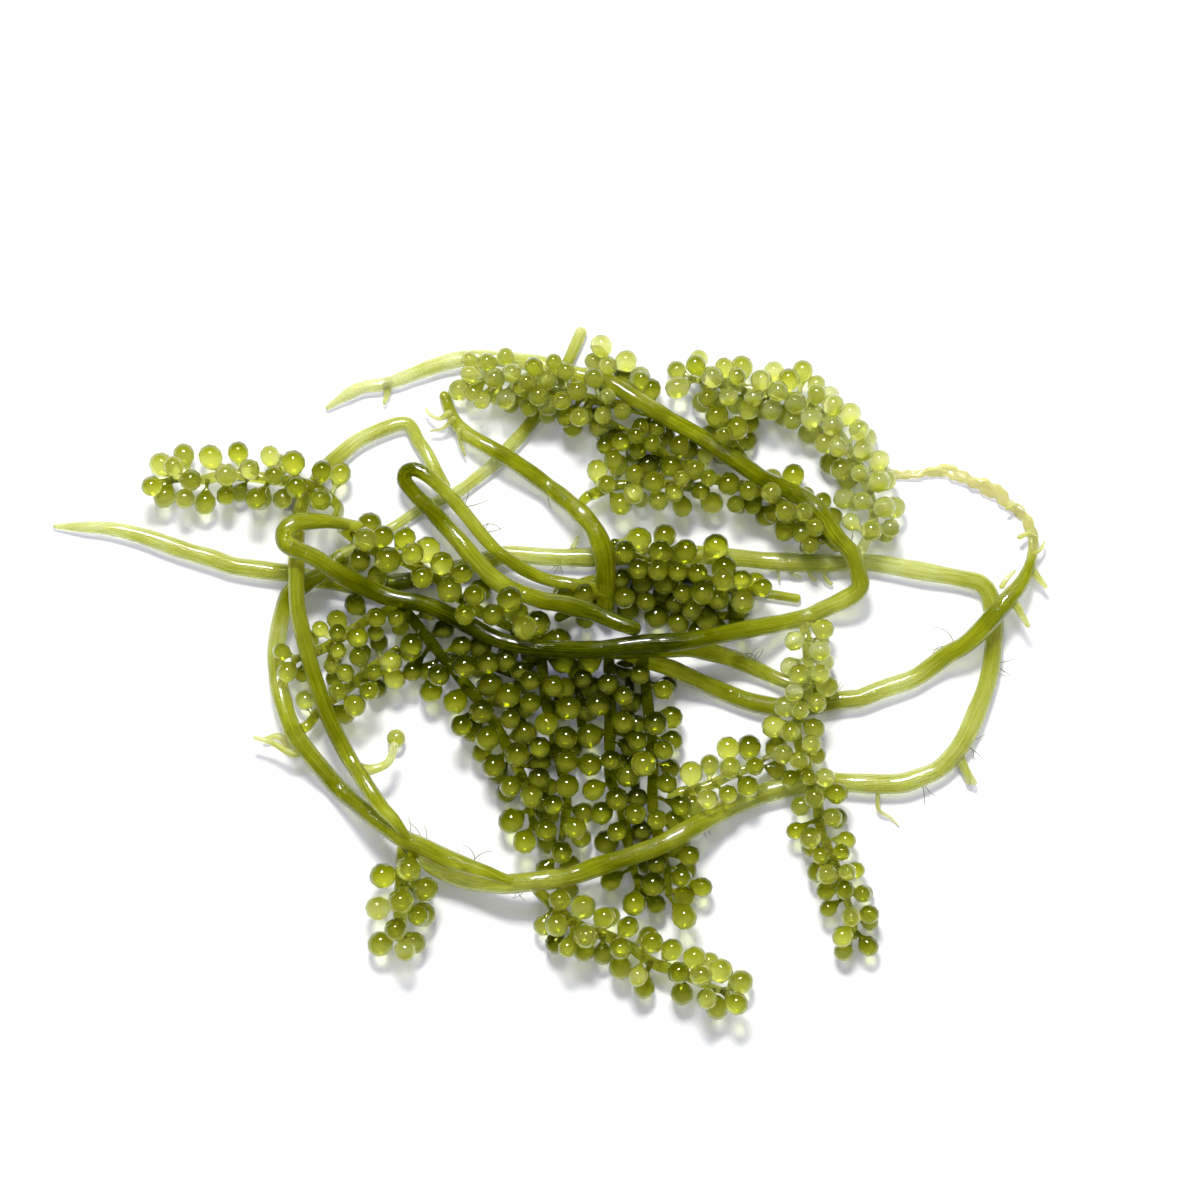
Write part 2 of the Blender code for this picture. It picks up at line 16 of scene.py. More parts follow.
import bpy
import numpy as np
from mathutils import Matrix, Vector


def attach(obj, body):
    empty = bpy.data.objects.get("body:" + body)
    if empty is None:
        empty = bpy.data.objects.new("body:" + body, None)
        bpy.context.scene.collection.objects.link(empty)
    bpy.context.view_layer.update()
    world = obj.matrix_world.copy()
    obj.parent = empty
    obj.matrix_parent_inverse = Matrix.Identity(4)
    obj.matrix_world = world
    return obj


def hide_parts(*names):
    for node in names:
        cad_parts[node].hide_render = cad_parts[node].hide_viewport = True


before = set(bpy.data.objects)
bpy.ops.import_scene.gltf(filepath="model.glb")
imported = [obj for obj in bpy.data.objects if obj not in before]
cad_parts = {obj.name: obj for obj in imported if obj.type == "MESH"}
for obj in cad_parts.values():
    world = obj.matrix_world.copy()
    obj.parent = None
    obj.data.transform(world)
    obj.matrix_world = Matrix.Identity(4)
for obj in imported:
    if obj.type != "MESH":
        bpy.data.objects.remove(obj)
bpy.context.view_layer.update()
MM = 0.001

# %% [markdown]
# ## Where every strand lies
#
# A tangle is a history: a strand lies over those that were there before it. So the
# routes are drawn as seen from above, in the order in which they lie, and the heights
# are worked out. They could be drawn by hand as well, but with two dozen crossings a
# rule is surer, and the solids were made by the same one.

# %% Strand sizes and shoots, in millimetres
SAMPLE_STEP = 0.5
STRAND_GAP = 0.34  # room between strands that cross
STEM_LIFT = 2.3  # least height of a frond's stem, which its berries hold up
REST_SINK = 0.86  # a runner's axis lies this share of its radius high
RISE_BEND = 0.05  # how sharply a strand bends over another
RISE_SOFT = 1.2  # reach of the mean that rounds the heights off

# Side shoots: route seen from above, and the diameter at each end.
LOOP_SHOOTS = (
    (((45.0, -9.4), (45.6, -10.9), (46.6, -12.4)), 1.2, 0.6),
    (((2.4, 12.4), (2.6, 13.6), (3.1, 14.6)), 1.0, 0.4),
)
LEFT_SHOOTS = ((((-26.8, -8.8), (-28.2, -9.2), (-30.4, -8.0), (-32.3, -7.4)), 1.0, 0.5),)
ARM_SHOOTS = (
    (((52.6, 11.4), (53.4, 10.4), (54.4, 9.2)), 1.2, 0.5),
    (((50.4, 8.1), (51.3, 6.8), (52.4, 4.9)), 1.2, 0.5),
)
UPRIGHT_SHOOTS = ((((-21.2, -10.8), (-19.6, -10.9), (-17.7, -10.1), (-17.0, -8.2)), 1.3, 0.8),)
LONG_SHOOTS = ((((-17.9, 31.4), (-17.9, 30.4), (-18.2, 29.4)), 1.2, 0.5),)


# %% [markdown]
# A runner is a bare strand. A frond is a stem with berries. Each is given a tone, from pale
# young flesh at 0 to deep olive at 1, which nothing reads: the tones that the materials
# read are set later on, strand by strand.

# %% Two kinds of strand
PALE, LEAF, DEEP = 0.12, 0.5, 0.92


def runner(name, tone, diameters, route, shoots=()):
    """A bare strand. Diameters are (share of the length, mm) pairs."""
    return {"name": name, "tone": tone, "diameters": diameters, "route": route,
            "shoots": shoots, "berry": 0}


def frond(name, tone, seed, stem, berry, pitch, reach, route):
    """A stem with berries, from base to tip: diameters of both, spacing, and stem to berry centre."""
    return {"name": name, "tone": tone, "seed": seed, "berry": berry, "pitch": pitch,
            "diameters": ((0, stem), (0.75, stem), (1, 0.55 * stem)),
            "reach": reach, "route": route, "shoots": ()}


# %% The routes, lowest strand first, as (x, y) in millimetres
STRANDS = (
    frond("frond_heart_1", DEEP, 41, 1.3, 2.4, 0.86, 2.3,
          ((-13, 3), (-11, 0.5), (-8.5, -2.5), (-6, -6), (-3.9, -10), (-2.6, -13), (-1.8, -17.2))),
    frond("frond_heart_3", DEEP, 43, 1.3, 2.45, 0.86, 2.3,
          ((6.5, -0.5), (6.6, -5), (6.6, -11.6), (7.6, -14), (8.2, -17), (9, -21), (9.8, -24))),
    frond("frond_heart_2", DEEP, 47, 1.2, 2.45, 0.86, 2.4,
          ((-0.8, 0), (-0.4, -3.5), (0.4, -7), (1.2, -10.5), (1.8, -13.5), (1.6, -16.8), (1, -19.8))),
    frond("frond_heart_4", DEEP, 54, 1.3, 2.45, 0.9, 2.3,
          ((10.4, -0.6), (10.9, -5), (11.3, -10.5), (11.3, -15), (12, -18.6), (12.8, -21.7), (13, -24.6))),
    frond("frond_lower_left", LEAF, 45, 1.6, 2.5, 0.85, 2.35,
          ((-16, -19.3), (-16.2, -21.3), (-16.3, -24), (-16.4, -26.7), (-16.5, -29.4))),
    frond("frond_bottom", LEAF, 46, 1.3, 2.4, 1.05, 2.4,
          ((-1.2, -24.3), (0.3, -25.7), (3, -27.9), (6.6, -29.3), (8.6, -30.2), (10.2, -31.4),
           (11.9, -32.4), (14.2, -33.1), (16, -34), (17.8, -34.8), (19.4, -35.3))),
    frond("frond_under_arm", LEAF, 57, 1.2, 2.3, 1.1, 2.3,
          ((13.8, -13.6), (15.3, -13.2), (17.6, -12.6), (19.8, -11.5), (22, -10.6), (23.4, -9.8))),
    frond("frond_left_inner_2", DEEP, 48, 1.2, 2.1, 1.15, 2.2,
          ((-26.4, -5.9), (-24.7, -3.8), (-23.1, -2.7), (-20.9, -0.9), (-19.1, 0.5), (-16.9, 2.4))),
    frond("frond_left_inner_1", DEEP, 49, 1.2, 2.0, 1.15, 2.1,
          ((-15.5, 7.3), (-17.5, 6.6), (-19.3, 5.9), (-21.1, 4.8), (-24.3, 2.7), (-26.1, 1.8), (-28.1, 1.2))),
    runner("runner_outer_loop", LEAF,
           ((0, 0.5), (0.02, 1.4), (0.08, 2.0), (0.55, 2.0), (0.7, 2.2), (0.95, 2.2), (0.985, 1.6), (1, 0.5)),
           ((-54.4, 15.8), (-49, 15.6), (-45, 14.8), (-40, 13.1), (-36.9, 12.2), (-35, 11.5), (-32.4, 11.1),
            (-28.7, 10.6), (-26, 10), (-23, 9.6), (-20, 9.2), (-16, 9.7), (-12, 10.5), (-7, 12), (-4.5, 12.7),
            (0.4, 12.4), (6, 12.4), (12, 12.6), (17, 12.6), (20.7, 12.3), (25, 11.9), (30, 11.7), (35, 11.8),
            (40, 11), (45.5, 10), (47.3, 9.5), (48.2, 8.4), (48.6, 6.8), (48.8, 4.5), (48.7, 2.4), (48.4, 0.1),
            (47.8, -2.2), (47, -4.3), (46.2, -6.2), (45.3, -8), (44.1, -9.6), (42.5, -11), (40.4, -11.9),
            (38.1, -12.5), (33.5, -12.4), (29.4, -12.2), (27.4, -12.6), (25.4, -13), (23.2, -13.6),
            (20.9, -14.6), (18.7, -15.6), (16.4, -16.8), (14.2, -18), (11.9, -19.2), (9.7, -20), (7.5, -20.8),
            (5.2, -21.5), (3, -22.3), (0.7, -22.8), (-2.6, -23.2), (-5.3, -23.4), (-8.2, -23.2),
            (-10.4, -22.7), (-12.2, -22), (-13.8, -21.1), (-14.9, -19.9)),
           LOOP_SHOOTS),
    runner("runner_left_loop", LEAF, ((0, 1.6), (0.1, 2.0), (0.9, 2.1), (1, 1.6)),
           ((-23, 12.5), (-25, 10.6), (-26.2, 9.9), (-27.5, 9), (-28.7, 8.1), (-29.4, 5.9), (-29.9, 3.6),
            (-30.1, 1.4), (-29.9, -0.9), (-29.4, -3.1), (-28.7, -5.3), (-27.9, -7.1), (-26.6, -8.9),
            (-25, -10.9), (-23.2, -13), (-21.4, -14.5), (-19.6, -15.9), (-17.8, -17.2), (-16, -18.4),
            (-13.8, -19.3), (-11.6, -20.4), (-9.3, -21.3), (-7.1, -22)),
           LEFT_SHOOTS),
    runner("runner_crossing", PALE, ((0, 1.3), (0.5, 1.5), (1, 1.1)),
           ((3.4, 37.1), (2.7, 35.5), (1.9, 33.7), (0.9, 31.4), (-0.4, 29.4), (-1.3, 28.3), (-2.4, 26.8),
            (-3.6, 25.4), (-4.7, 24.3), (-6.3, 22.5), (-8.1, 21.1), (-9.8, 19.8), (-12, 18.7), (-14.3, 17.6),
            (-16.5, 16.2))),
    runner("runner_under_middle", DEEP, ((0, 1.2), (0.5, 1.4), (1, 1.0)),
           ((0.9, 8.6), (5, 9.9), (9.9, 10.6), (16, 10.1), (21, 8.9), (25.2, 8.2), (27.1, 7.9))),
    runner("runner_left_upright", LEAF, ((0, 1.5), (0.08, 1.8), (0.7, 1.8), (1, 1.4)),
           ((-17.4, -15.9), (-18.3, -15), (-19.6, -13.2), (-20.8, -11.4), (-22.1, -9.4), (-23.2, -7.3),
            (-24.3, -4.9), (-25.5, -1.5), (-26.4, 1.5), (-27.2, 4.8), (-27.6, 7), (-27.7, 9.3), (-27.7, 12.6),
            (-27.6, 15.5), (-27, 18.5), (-25.5, 20.9), (-24.5, 22.3), (-23.1, 23.6), (-21.1, 25.2),
            (-18.6, 26.4), (-16.4, 27.1), (-15.3, 26.8), (-14.6, 25.4), (-13.4, 23.6), (-12.5, 21.8),
            (-11.6, 20.2)),
           UPRIGHT_SHOOTS),
    runner("runner_right_arm", LEAF,
           ((0, 1.6), (0.05, 2.0), (0.62, 2.1), (0.68, 1.3), (0.76, 0.9), (0.84, 1.4), (0.92, 1.0), (1, 0.6)),
           ((10, 1.2), (13.1, 0.3), (15.1, -0.6), (17.3, -1.6), (19.6, -2.6), (21.8, -3.4), (24, -3.9),
            (26.3, -4.2), (29, -3.9), (32.1, -3.3), (34, -3.1), (36.3, -2.2), (38.1, -1.6), (40, -0.9),
            (41.8, 0.3), (43.6, 1.7), (45.5, 2.8), (47.3, 4.5), (48.7, 6.1), (50.1, 7.7), (51.5, 9.3),
            (52.4, 10.9), (52.9, 12.3), (53.1, 13.9), (52.9, 15.4), (52.2, 16.7), (51, 17.8), (49.9, 18.8),
            (49, 19.6), (47.8, 20.2), (46.4, 20.6), (45.3, 21.3), (43.6, 21.9), (41.8, 21.8), (40.2, 21.5),
            (38.4, 21.5), (36.5, 21.9)),
           ARM_SHOOTS),
    runner("runner_short_right", LEAF, ((0, 1.5), (0.3, 1.9), (0.62, 2.1), (0.7, 1.8), (1, 1.3)),
           ((8, 1.9), (11.7, 2.2), (15.1, 2.4), (17.3, 2), (19.6, 1.4), (21.4, 0.7), (22.9, 0),
            (24.7, -0.8), (26.7, -1.6), (28.3, -2.1))),
    frond("frond_below_hook", PALE, 61, 1.2, 2.15, 0.72, 2.15,
          ((4.4, 19.2), (5.4, 19.6), (7, 20.2), (9, 20.4), (11.5, 20.6), (14, 20.2), (16, 19.8))),
    frond("frond_right_middle", DEEP, 62, 1.3, 2.3, 0.86, 2.3,
          ((6.5, 15.5), (7.5, 13.3), (10, 12), (12.5, 11.2), (15, 10.8), (17, 10), (19, 9), (20.8, 8.5))),
    frond("frond_long_strand", LEAF, 63, 1.3, 1.9, 1.45, 2.1,
          ((31.3, 13.7), (29.5, 15.3), (27.7, 16.6), (25.4, 18.2), (23.2, 19.5), (21, 20.2), (18.7, 20.8),
           (16.9, 21.4), (15.1, 22.2), (13.1, 23.1), (11.5, 24.3), (9.7, 25.4), (8.2, 26.3), (6.5, 27.3))),
    frond("frond_top_inner", LEAF, 64, 1.1, 2.05, 0.95, 2.1,
          ((21.5, 22.9), (20.3, 24.4), (19.5, 26), (19, 28), (18.5, 30.3))),
    frond("frond_upper_middle", PALE, 65, 1.2, 1.85, 0.95, 2.3,
          ((12.3, 28), (9.7, 28.6), (7, 29.2), (4, 29.9), (1, 30.8), (-1.8, 31.7), (-3.6, 31.9), (-5, 32),
           (-7.2, 32))),
    frond("frond_top_right", LEAF, 66, 1.2, 2.0, 1.05, 2.3,
          ((34.2, 13.3), (34.8, 14.5), (35.5, 16.5), (35.3, 18.5), (34.4, 21.3), (33.3, 23.3), (32.3, 25),
           (31, 26.8), (29.5, 28.3), (27, 29.8), (24.5, 30.4), (22, 30.8), (19.5, 31.2), (17.5, 31.5),
           (15.5, 32))),
    frond("frond_centre_left", DEEP, 67, 1.3, 2.4, 0.9, 2.45,
          ((-22.6, 15.4), (-20, 13.5), (-16, 12), (-12, 9.8), (-10, 8), (-7.5, 6.3), (-4.5, 4.8),
           (-2.4, 3.4))),
    runner("runner_hook", LEAF, ((0, 1.2), (0.15, 1.6), (0.4, 1.9), (0.9, 2.3), (1, 1.9)),
           ((-11.6, 30.1), (-10.9, 28.3), (-10.3, 27.2), (-9.2, 26), (-7.6, 25), (-5.8, 24), (-4, 22.9),
            (-1.8, 21.4), (0.5, 19.6), (2.5, 18), (4.3, 16.2), (5.4, 14.4), (6, 12.2), (6.1, 9.3),
            (6.1, 7))),
    runner("runner_long_top", LEAF,
           ((0, 0.6), (0.02, 1.4), (0.1, 1.8), (0.4, 2.0), (0.96, 2.0), (1, 1.2)),
           ((-24.4, 28.9), (-22.6, 30.1), (-20.6, 31.1), (-19, 31.3), (-17, 31.8), (-15.2, 32.5),
            (-12.5, 33.5), (-9.8, 34.2), (-7.4, 34.3), (-4.7, 34.1), (-1.8, 33.7), (0.5, 33.2), (2.7, 32.5),
            (5.2, 32), (7, 31.3), (8.8, 30.1), (10.6, 29), (12.9, 27.6), (14.7, 26.6), (16.5, 25.6),
            (18.3, 24.3), (20, 23.2), (21.8, 22), (23.2, 21.1), (25.4, 20), (27.2, 19.2), (28.8, 18.1),
            (30.1, 16.6), (31.3, 14.7), (32.9, 13), (33.5, 11.6), (33.9, 10), (33.9, 8.9), (32.6, 7.9),
            (30.3, 6.8), (28, 5.8), (25, 5.1), (20, 4.2), (15, 3.2), (10, 2.9), (5, 2.3), (0.4, 2.3),
            (-1.8, 2.5), (-4.5, 3), (-6.3, 3.6), (-8.6, 4.8), (-10.8, 6), (-13.1, 7), (-15.3, 7.6),
            (-17.5, 8), (-19.8, 8.9), (-22, 10), (-23.8, 11.1), (-25.8, 12.4), (-28.1, 13.4),
            (-29, 14.3), (-28.7, 15.4), (-27.6, 16.1), (-24.6, 16.3), (-21, 15.8)),
           LONG_SHOOTS),
    runner("runner_folded", LEAF, ((0, 1.6), (0.06, 2.0), (0.45, 2.0), (0.6, 1.6), (1, 1.4)),
           ((9.2, 4.6), (7.2, 5.3), (5.2, 6.2), (3.2, 6.8), (1.3, 7.3), (-0.6, 7.6), (-2.5, 8.2),
            (-4.6, 9), (-6.5, 10.3), (-8.2, 12.1), (-9.9, 14.1), (-11.6, 16), (-13.3, 17.8),
            (-15, 19.5), (-16, 21), (-15.5, 22), (-14.2, 21.8), (-12.4, 20.5), (-10.6, 18.7),
            (-9, 16.8), (-7.4, 14.8), (-5.9, 13.2), (-4.2, 11.9), (-2.2, 10.7), (-0.2, 9.9), (1.8, 9.5))),
    frond("frond_left", PALE, 71, 1.3, 2.3, 0.98, 2.4,
          ((-23.4, 18.2), (-24.6, 19.3), (-26.8, 20.4), (-30.2, 20.9), (-33.6, 21.4), (-35.8, 21.4),
           (-38, 20.9), (-40.3, 21), (-42, 20.8))),
    frond("frond_right_lower", LEAF, 72, 1.2, 2.1, 1.02, 2.1,
          ((28.2, 3), (28.4, 0.3), (28.3, -1.9), (27.6, -4), (27, -6.3), (27.5, -8.7), (28.2, -10.5),
           (28.6, -12.1), (29.3, -14.1), (29.6, -16.8), (30.4, -19.3), (31.3, -21.3), (32.1, -23.6),
           (32.7, -25.6), (33.3, -27.4), (33.5, -29.2))),
)


# %% [markdown]
# A given route is a few points, and flesh has no corners, so a Catmull-Rom curve
# goes through them. The heights then come from one rule: a strand is at least as high
# as what it crosses needs, and it bends no sharper than a parabola, as a soft thing
# does that is laid over another.

# %% Smooth routes and laying rule
def distance_along(path):
    """Running sum of the straight steps between the points."""
    return np.concatenate([[0], np.cumsum(np.linalg.norm(np.diff(path, axis=0), axis=1))])


def smooth_route(points, step):
    """Catmull-Rom: b + ((c-a)t + (2a-5b+4c-d)t^2 + (3b-a-3c+d)t^3) / 2, then read at even steps."""
    p = np.array(points, float)
    p = np.vstack([2 * p[0] - p[1], p, 2 * p[-1] - p[-2]])
    a, b, c, d = p[:-3, None], p[1:-2, None], p[2:-1, None], p[3:, None]
    t = np.linspace(0, 1, 16, endpoint=False)[None, :, None]
    curve = b + 0.5 * ((c - a) * t + (2 * a - 5 * b + 4 * c - d) * t**2 + (3 * b - a - 3 * c + d) * t**3)
    curve = np.vstack([curve.reshape(-1, p.shape[1]), p[-2]])
    gone = distance_along(curve)
    even = np.linspace(0, gone[-1], max(int(round(gone[-1] / step)), 2) + 1)
    return np.column_stack([np.interp(even, gone, curve[:, k]) for k in range(p.shape[1])])


def rise_over(need, along):
    """Height(s) = max over t of need(t) - bend (s-t)^2, then a Gaussian mean of that."""
    apart = along[:, None] - along[None, :]
    height = (need[None, :] - RISE_BEND * apart**2).max(axis=1)
    weight = np.exp(-0.5 * (apart / RISE_SOFT) ** 2)
    return weight @ height / weight.sum(axis=1)


def lay_strands():
    """Each strand clears those before it: height >= theirs + sqrt(clear^2 - apart^2)."""
    laid = np.empty((0, 4))
    strands = []
    for plan in STRANDS:
        flat = smooth_route(plan["route"], SAMPLE_STEP)
        along = distance_along(flat)
        shares, diameters = zip(*plan["diameters"])
        radii = 0.5 * np.interp(along / along[-1], shares, diameters)
        need = np.full(len(flat), STEM_LIFT) if plan["berry"] else REST_SINK * radii
        if len(laid):
            apart = np.linalg.norm(flat[:, None] - laid[None, :, :2], axis=2)
            clear = radii[:, None] + laid[None, :, 3] + STRAND_GAP
            lift = np.sqrt(np.maximum(clear**2 - apart**2, 0))
            over = np.where(apart < clear, laid[None, :, 2] + lift, 0)
            need = np.maximum(need, over.max(axis=1))
        path = np.column_stack([flat, rise_over(need, along)])
        laid = np.vstack([laid, np.column_stack([path, radii])])
        strands.append({**plan, "path": path, "radii": radii, "along": along})
    return strands


strands = lay_strands()
by_name = {s["name"]: s for s in strands}
print("runner in all, mm:", round(sum(s["along"][-1] for s in strands if not s["berry"])))
print("stem in all, mm:", round(sum(s["along"][-1] for s in strands if s["berry"])))
print("highest axis, mm:", round(max(s["path"][:, 2].max() for s in strands), 1))

# %% [markdown]
# ## Where every berry grows
#
# On the plant each berry is turned round the stem from the last one, so that all get
# light. The golden angle does that. A place that is taken makes the berry turn, or reach
# more or less far, as a soft thing pushed aside does. The first pass is the solids' own
# berries. Two more passes then fill the places between them, so that the fronds are as
# full as real ones.

# %% Berry rule
SPARSER = 1.36  # spacing of the solids' berries, next to the real spacing
BARE_BASE = 1.0  # mm of bare stem at the base
GOLDEN_TURN = math.radians(137.5)
STALK_RADIUS = 0.27
STALK_STATIONS = (0.35, 0.6)  # shares of a stalk that are kept clear
LEAN = math.radians(18)  # berries lean towards the tip, and more so near it
TIP_LEAN = math.radians(62)
TIP_LENGTH = 2.5
FLOOR_GAP = 0.08
ANY_WAY = 1.1  # above the sine of every angle, so that a berry may grow straight up
TURNS_TRIED = tuple(math.radians(a) for a in (0, 35, -35, 70, -70, 105, -105, 140, -140, 180))
REACHES_TRIED = (1.0, 1.22, 0.86)
SOLID_GAPS = (0.26, 0.17)  # room to other strands, and to sister berries, in the solids
# Passes that fill in: share of the real spacing, gaps as above, and how far berries reach
FILL_PASSES = ((0.7, (0.1, 0.12), 1.0), (0.5, (0.0, 0.04), 1.25))
CROWDED = ("frond_heart_1", "frond_heart_2", "frond_heart_3", "frond_heart_4", "frond_centre_left",
           "frond_right_middle", "frond_long_strand", "frond_upper_middle", "frond_below_hook",
           "frond_top_inner")
UNDER = {"frond_heart_1": 5.0, "frond_heart_2": 3.0, "frond_heart_3": 3.2, "frond_heart_4": 3.0,
         "frond_right_lower": 3.0}  # these stems go on this far, in mm, under the runners over them
# Berries that fill in point up no steeper than this sine here, so that the stems show from above
BARE_TOP = {"frond_heart_1": 0.72, "frond_heart_2": 0.62, "frond_heart_3": 0.62, "frond_heart_4": 0.72}
# Fronds that lie under everything: height of the stem, spacing, gaps as above, and reach in each pass
LOW_STEM = 1.7
LOW_PITCH = 0.5
LOW_GAPS = (-0.3, 0.02)
LOW_REACHES = (0.75, 1.1)


class Room:
    """What fills the space, as balls: centre, radius, the strand that owns it, and whether it is stem."""

    def __init__(self, strands):
        self.balls = np.vstack([
            np.column_stack([s["path"], s["radii"], np.full(len(s["path"]), i), np.ones(len(s["path"]))])
            for i, s in enumerate(strands)
        ])

    def add(self, centre, radius, owner):
        self.balls = np.vstack([self.balls, [*centre, radius, owner, 0]])

    def is_free(self, centre, radius, owner, beside_stem, gaps):
        """True if the distance to every ball is at least both radii and the gap."""
        apart = np.linalg.norm(self.balls[:, :3] - centre, axis=1) - self.balls[:, 3] - radius
        own = self.balls[:, 4] == owner
        stem = self.balls[:, 5] == 1
        if (apart[~own] < gaps[0]).any() or (apart[own & ~stem] < gaps[1]).any():
            return False
        return beside_stem or not (apart[own & stem] < gaps[1]).any()


def stem_frame(path, place):
    """Tangent, level side and up of a path near one of its points."""
    tangent = path[min(place + 1, len(path) - 1)] - path[max(place - 1, 0)]
    tangent /= np.linalg.norm(tangent)
    side = np.cross((0, 0, 1), tangent)
    side /= np.linalg.norm(side)
    return tangent, side, np.cross(tangent, side)


def find_place(root, axes, turn, lean, radius, reach, owner, room, gaps, highest):
    """Centre = root + reach (cos lean (cos turn side + sin turn up) + sin lean tangent), once clear.

    It has to clear the floor, and before the lean it points up with a sine of at most highest.
    """
    tangent, side, up = axes
    for stretch in REACHES_TRIED:
        for more in TURNS_TRIED:
            out = math.cos(turn + more) * side + math.sin(turn + more) * up
            way = math.cos(lean) * out + math.sin(lean) * tangent
            centre = root + stretch * reach * way
            if centre[2] < radius + FLOOR_GAP or out[2] > highest:
                continue
            if not room.is_free(centre, radius, owner, False, gaps):
                continue
            if all(
                room.is_free(root + share * (centre - root), STALK_RADIUS, owner, True, gaps)
                for share in STALK_STATIONS
            ):
                return centre
    return None


def grow_berries(owner, strand, room, pitch, seed, gaps, further=1.0, highest=ANY_WAY):
    """Rows of root, centre and radius, one berry each pitch, from the base to the tip."""
    draw = np.random.default_rng(seed)
    path, along = strand["path"], strand["along"]
    berries = []
    for k in range(int((along[-1] - BARE_BASE) / pitch) + 1):
        station = BARE_BASE + (k + draw.uniform(-0.3, 0.3)) * pitch
        turn = k * GOLDEN_TURN + draw.uniform(-0.35, 0.35)
        radius = 0.5 * strand["berry"] * draw.uniform(0.84, 1.12)
        reach = further * strand["reach"] * draw.uniform(0.92, 1.16)
        place = int(np.clip(np.searchsorted(along, station), 1, len(path) - 1))
        axes = stem_frame(path, place)
        near_tip = np.clip(1 - (along[-1] - station) / TIP_LENGTH, 0, 1)
        lean = LEAN + near_tip * (TIP_LEAN - LEAN)
        found = find_place(path[place], axes, turn, lean, radius, reach, owner, room, gaps, highest)
        if found is not None:
            room.add(found, radius, owner)
            for share in STALK_STATIONS:
                room.add(path[place] + share * (found - path[place]), STALK_RADIUS, owner)
            berries.append((*path[place], *found, radius))
    return berries


# %% Grow them
def carried_on(strand, length):
    """The strand with a straight, level stretch before its start."""
    back = (strand["path"][0] - strand["path"][3]) * (1, 1, 0)
    steps = np.arange(length, 0, -SAMPLE_STEP)[:, None]
    path = np.vstack([strand["path"][0] + steps * back / np.linalg.norm(back), strand["path"]])
    radii = np.concatenate([np.full(len(steps), strand["radii"][0]), strand["radii"]])
    return {**strand, "path": path, "radii": radii, "along": distance_along(path)}


def grow_all():
    """Passes over the fronds: first the solids' own berries, then those that fill in."""
    room = Room(strands)
    fronds = [(owner, strand) for owner, strand in enumerate(strands) if strand["berry"]]
    berries = {}
    for owner, strand in fronds:
        pitch = SPARSER * strand["pitch"]
        berries[strand["name"]] = grow_berries(owner, strand, room, pitch, strand["seed"], SOLID_GAPS)
    first = sum(map(len, berries.values()))
    for turn, (spacing, gaps, further) in enumerate(FILL_PASSES):
        for owner, strand in fronds:
            name = strand["name"]
            if turn == 0 or name in CROWDED:
                pitch = spacing * strand["pitch"]
                seed = 100 * (turn + 1) + strand["seed"]
                stem = carried_on(strand, UNDER[name]) if name in UNDER else strand
                top = BARE_TOP.get(name, ANY_WAY)
                berries[name] += grow_berries(owner, stem, room, pitch, seed, gaps, further, top)
    for strand in low_fronds:
        berries[strand["name"]] = [
            row
            for turn, further in enumerate(LOW_REACHES)
            for row in grow_berries(-1, strand, room, LOW_PITCH, strand["seed"] + turn, LOW_GAPS, further)
        ]
    print("berries of the low fronds:", [len(berries[s["name"]]) for s in low_fronds])
    print("berries:", first, "and filling in:", sum(map(len, berries.values())) - first)
    return {name: np.array(rows) for name, rows in berries.items()}, room


def lay_low(plan):
    """A short frond that is laid level, under all others."""
    flat = smooth_route(plan["route"], SAMPLE_STEP)
    radii = np.full(len(flat), 0.5 * plan["diameters"][0][1])
    return {**plan, "path": np.column_stack([flat, np.full(len(flat), LOW_STEM)]), "radii": radii,
            "along": distance_along(flat)}


low_fronds = [
    lay_low(frond("low_frond_middle", DEEP, 91, 1.1, 2.3, 1.0, 2.0,
                  ((1.0, 5.8), (4.5, 7.4), (8.5, 7.9), (12.5, 7.0), (16.5, 6.0), (20.5, 6.0)))),
    lay_low(frond("low_frond_heart_1", DEEP, 95, 1.1, 2.4, 1.0, 2.0,
                  ((-12.0, 1.5), (-7.0, 0.6), (-1.5, -1.2), (4.0, -1.6), (8.5, -3.5)))),
    lay_low(frond("low_frond_heart_2", DEEP, 96, 1.1, 2.4, 1.0, 2.0,
                  ((-7.5, -1.5), (-3.4, -5.0), (-2.2, -9.0), (-0.6, -13.0), (-0.4, -17.0)))),
    lay_low(frond("low_frond_heart_3", DEEP, 97, 1.1, 2.4, 1.0, 2.0,
                  ((3.0, -1.0), (3.4, -4.0), (3.6, -7.5)))),
    lay_low(frond("low_frond_heart_4", DEEP, 98, 1.1, 2.4, 1.0, 2.0,
                  ((8.7, -1.0), (8.9, -6.0), (9.2, -11.0), (9.8, -16.0), (11.0, -21.0)))),
    lay_low(frond("low_frond_top", PALE, 99, 1.0, 2.2, 1.0, 2.0,
                  ((11.0, 28.0), (9.0, 31.0), (6.8, 33.4), (5.4, 35.2)))),
]
berries, room = grow_all()


# %% [markdown]
# ## Surfaces worked out as arrays
#
# A strand is a tube: a ring of points carried along a path. It could be a curve with a
# bevel, but a grid of points lets the flesh swell, narrow and carry fine ribs, and
# lets every point hold what the material reads: where it is along the strand, how pale
# and how deep its flesh is, with painted shade added in, and how much painted glow it has.

# %% From arrays to a piece
ATTRIBUTES = (("grain", "FLOAT_VECTOR", "vector"), ("tone", "FLOAT", "value"),
              ("painted_glow", "FLOAT", "value"), ("dry", "FLOAT", "value"))


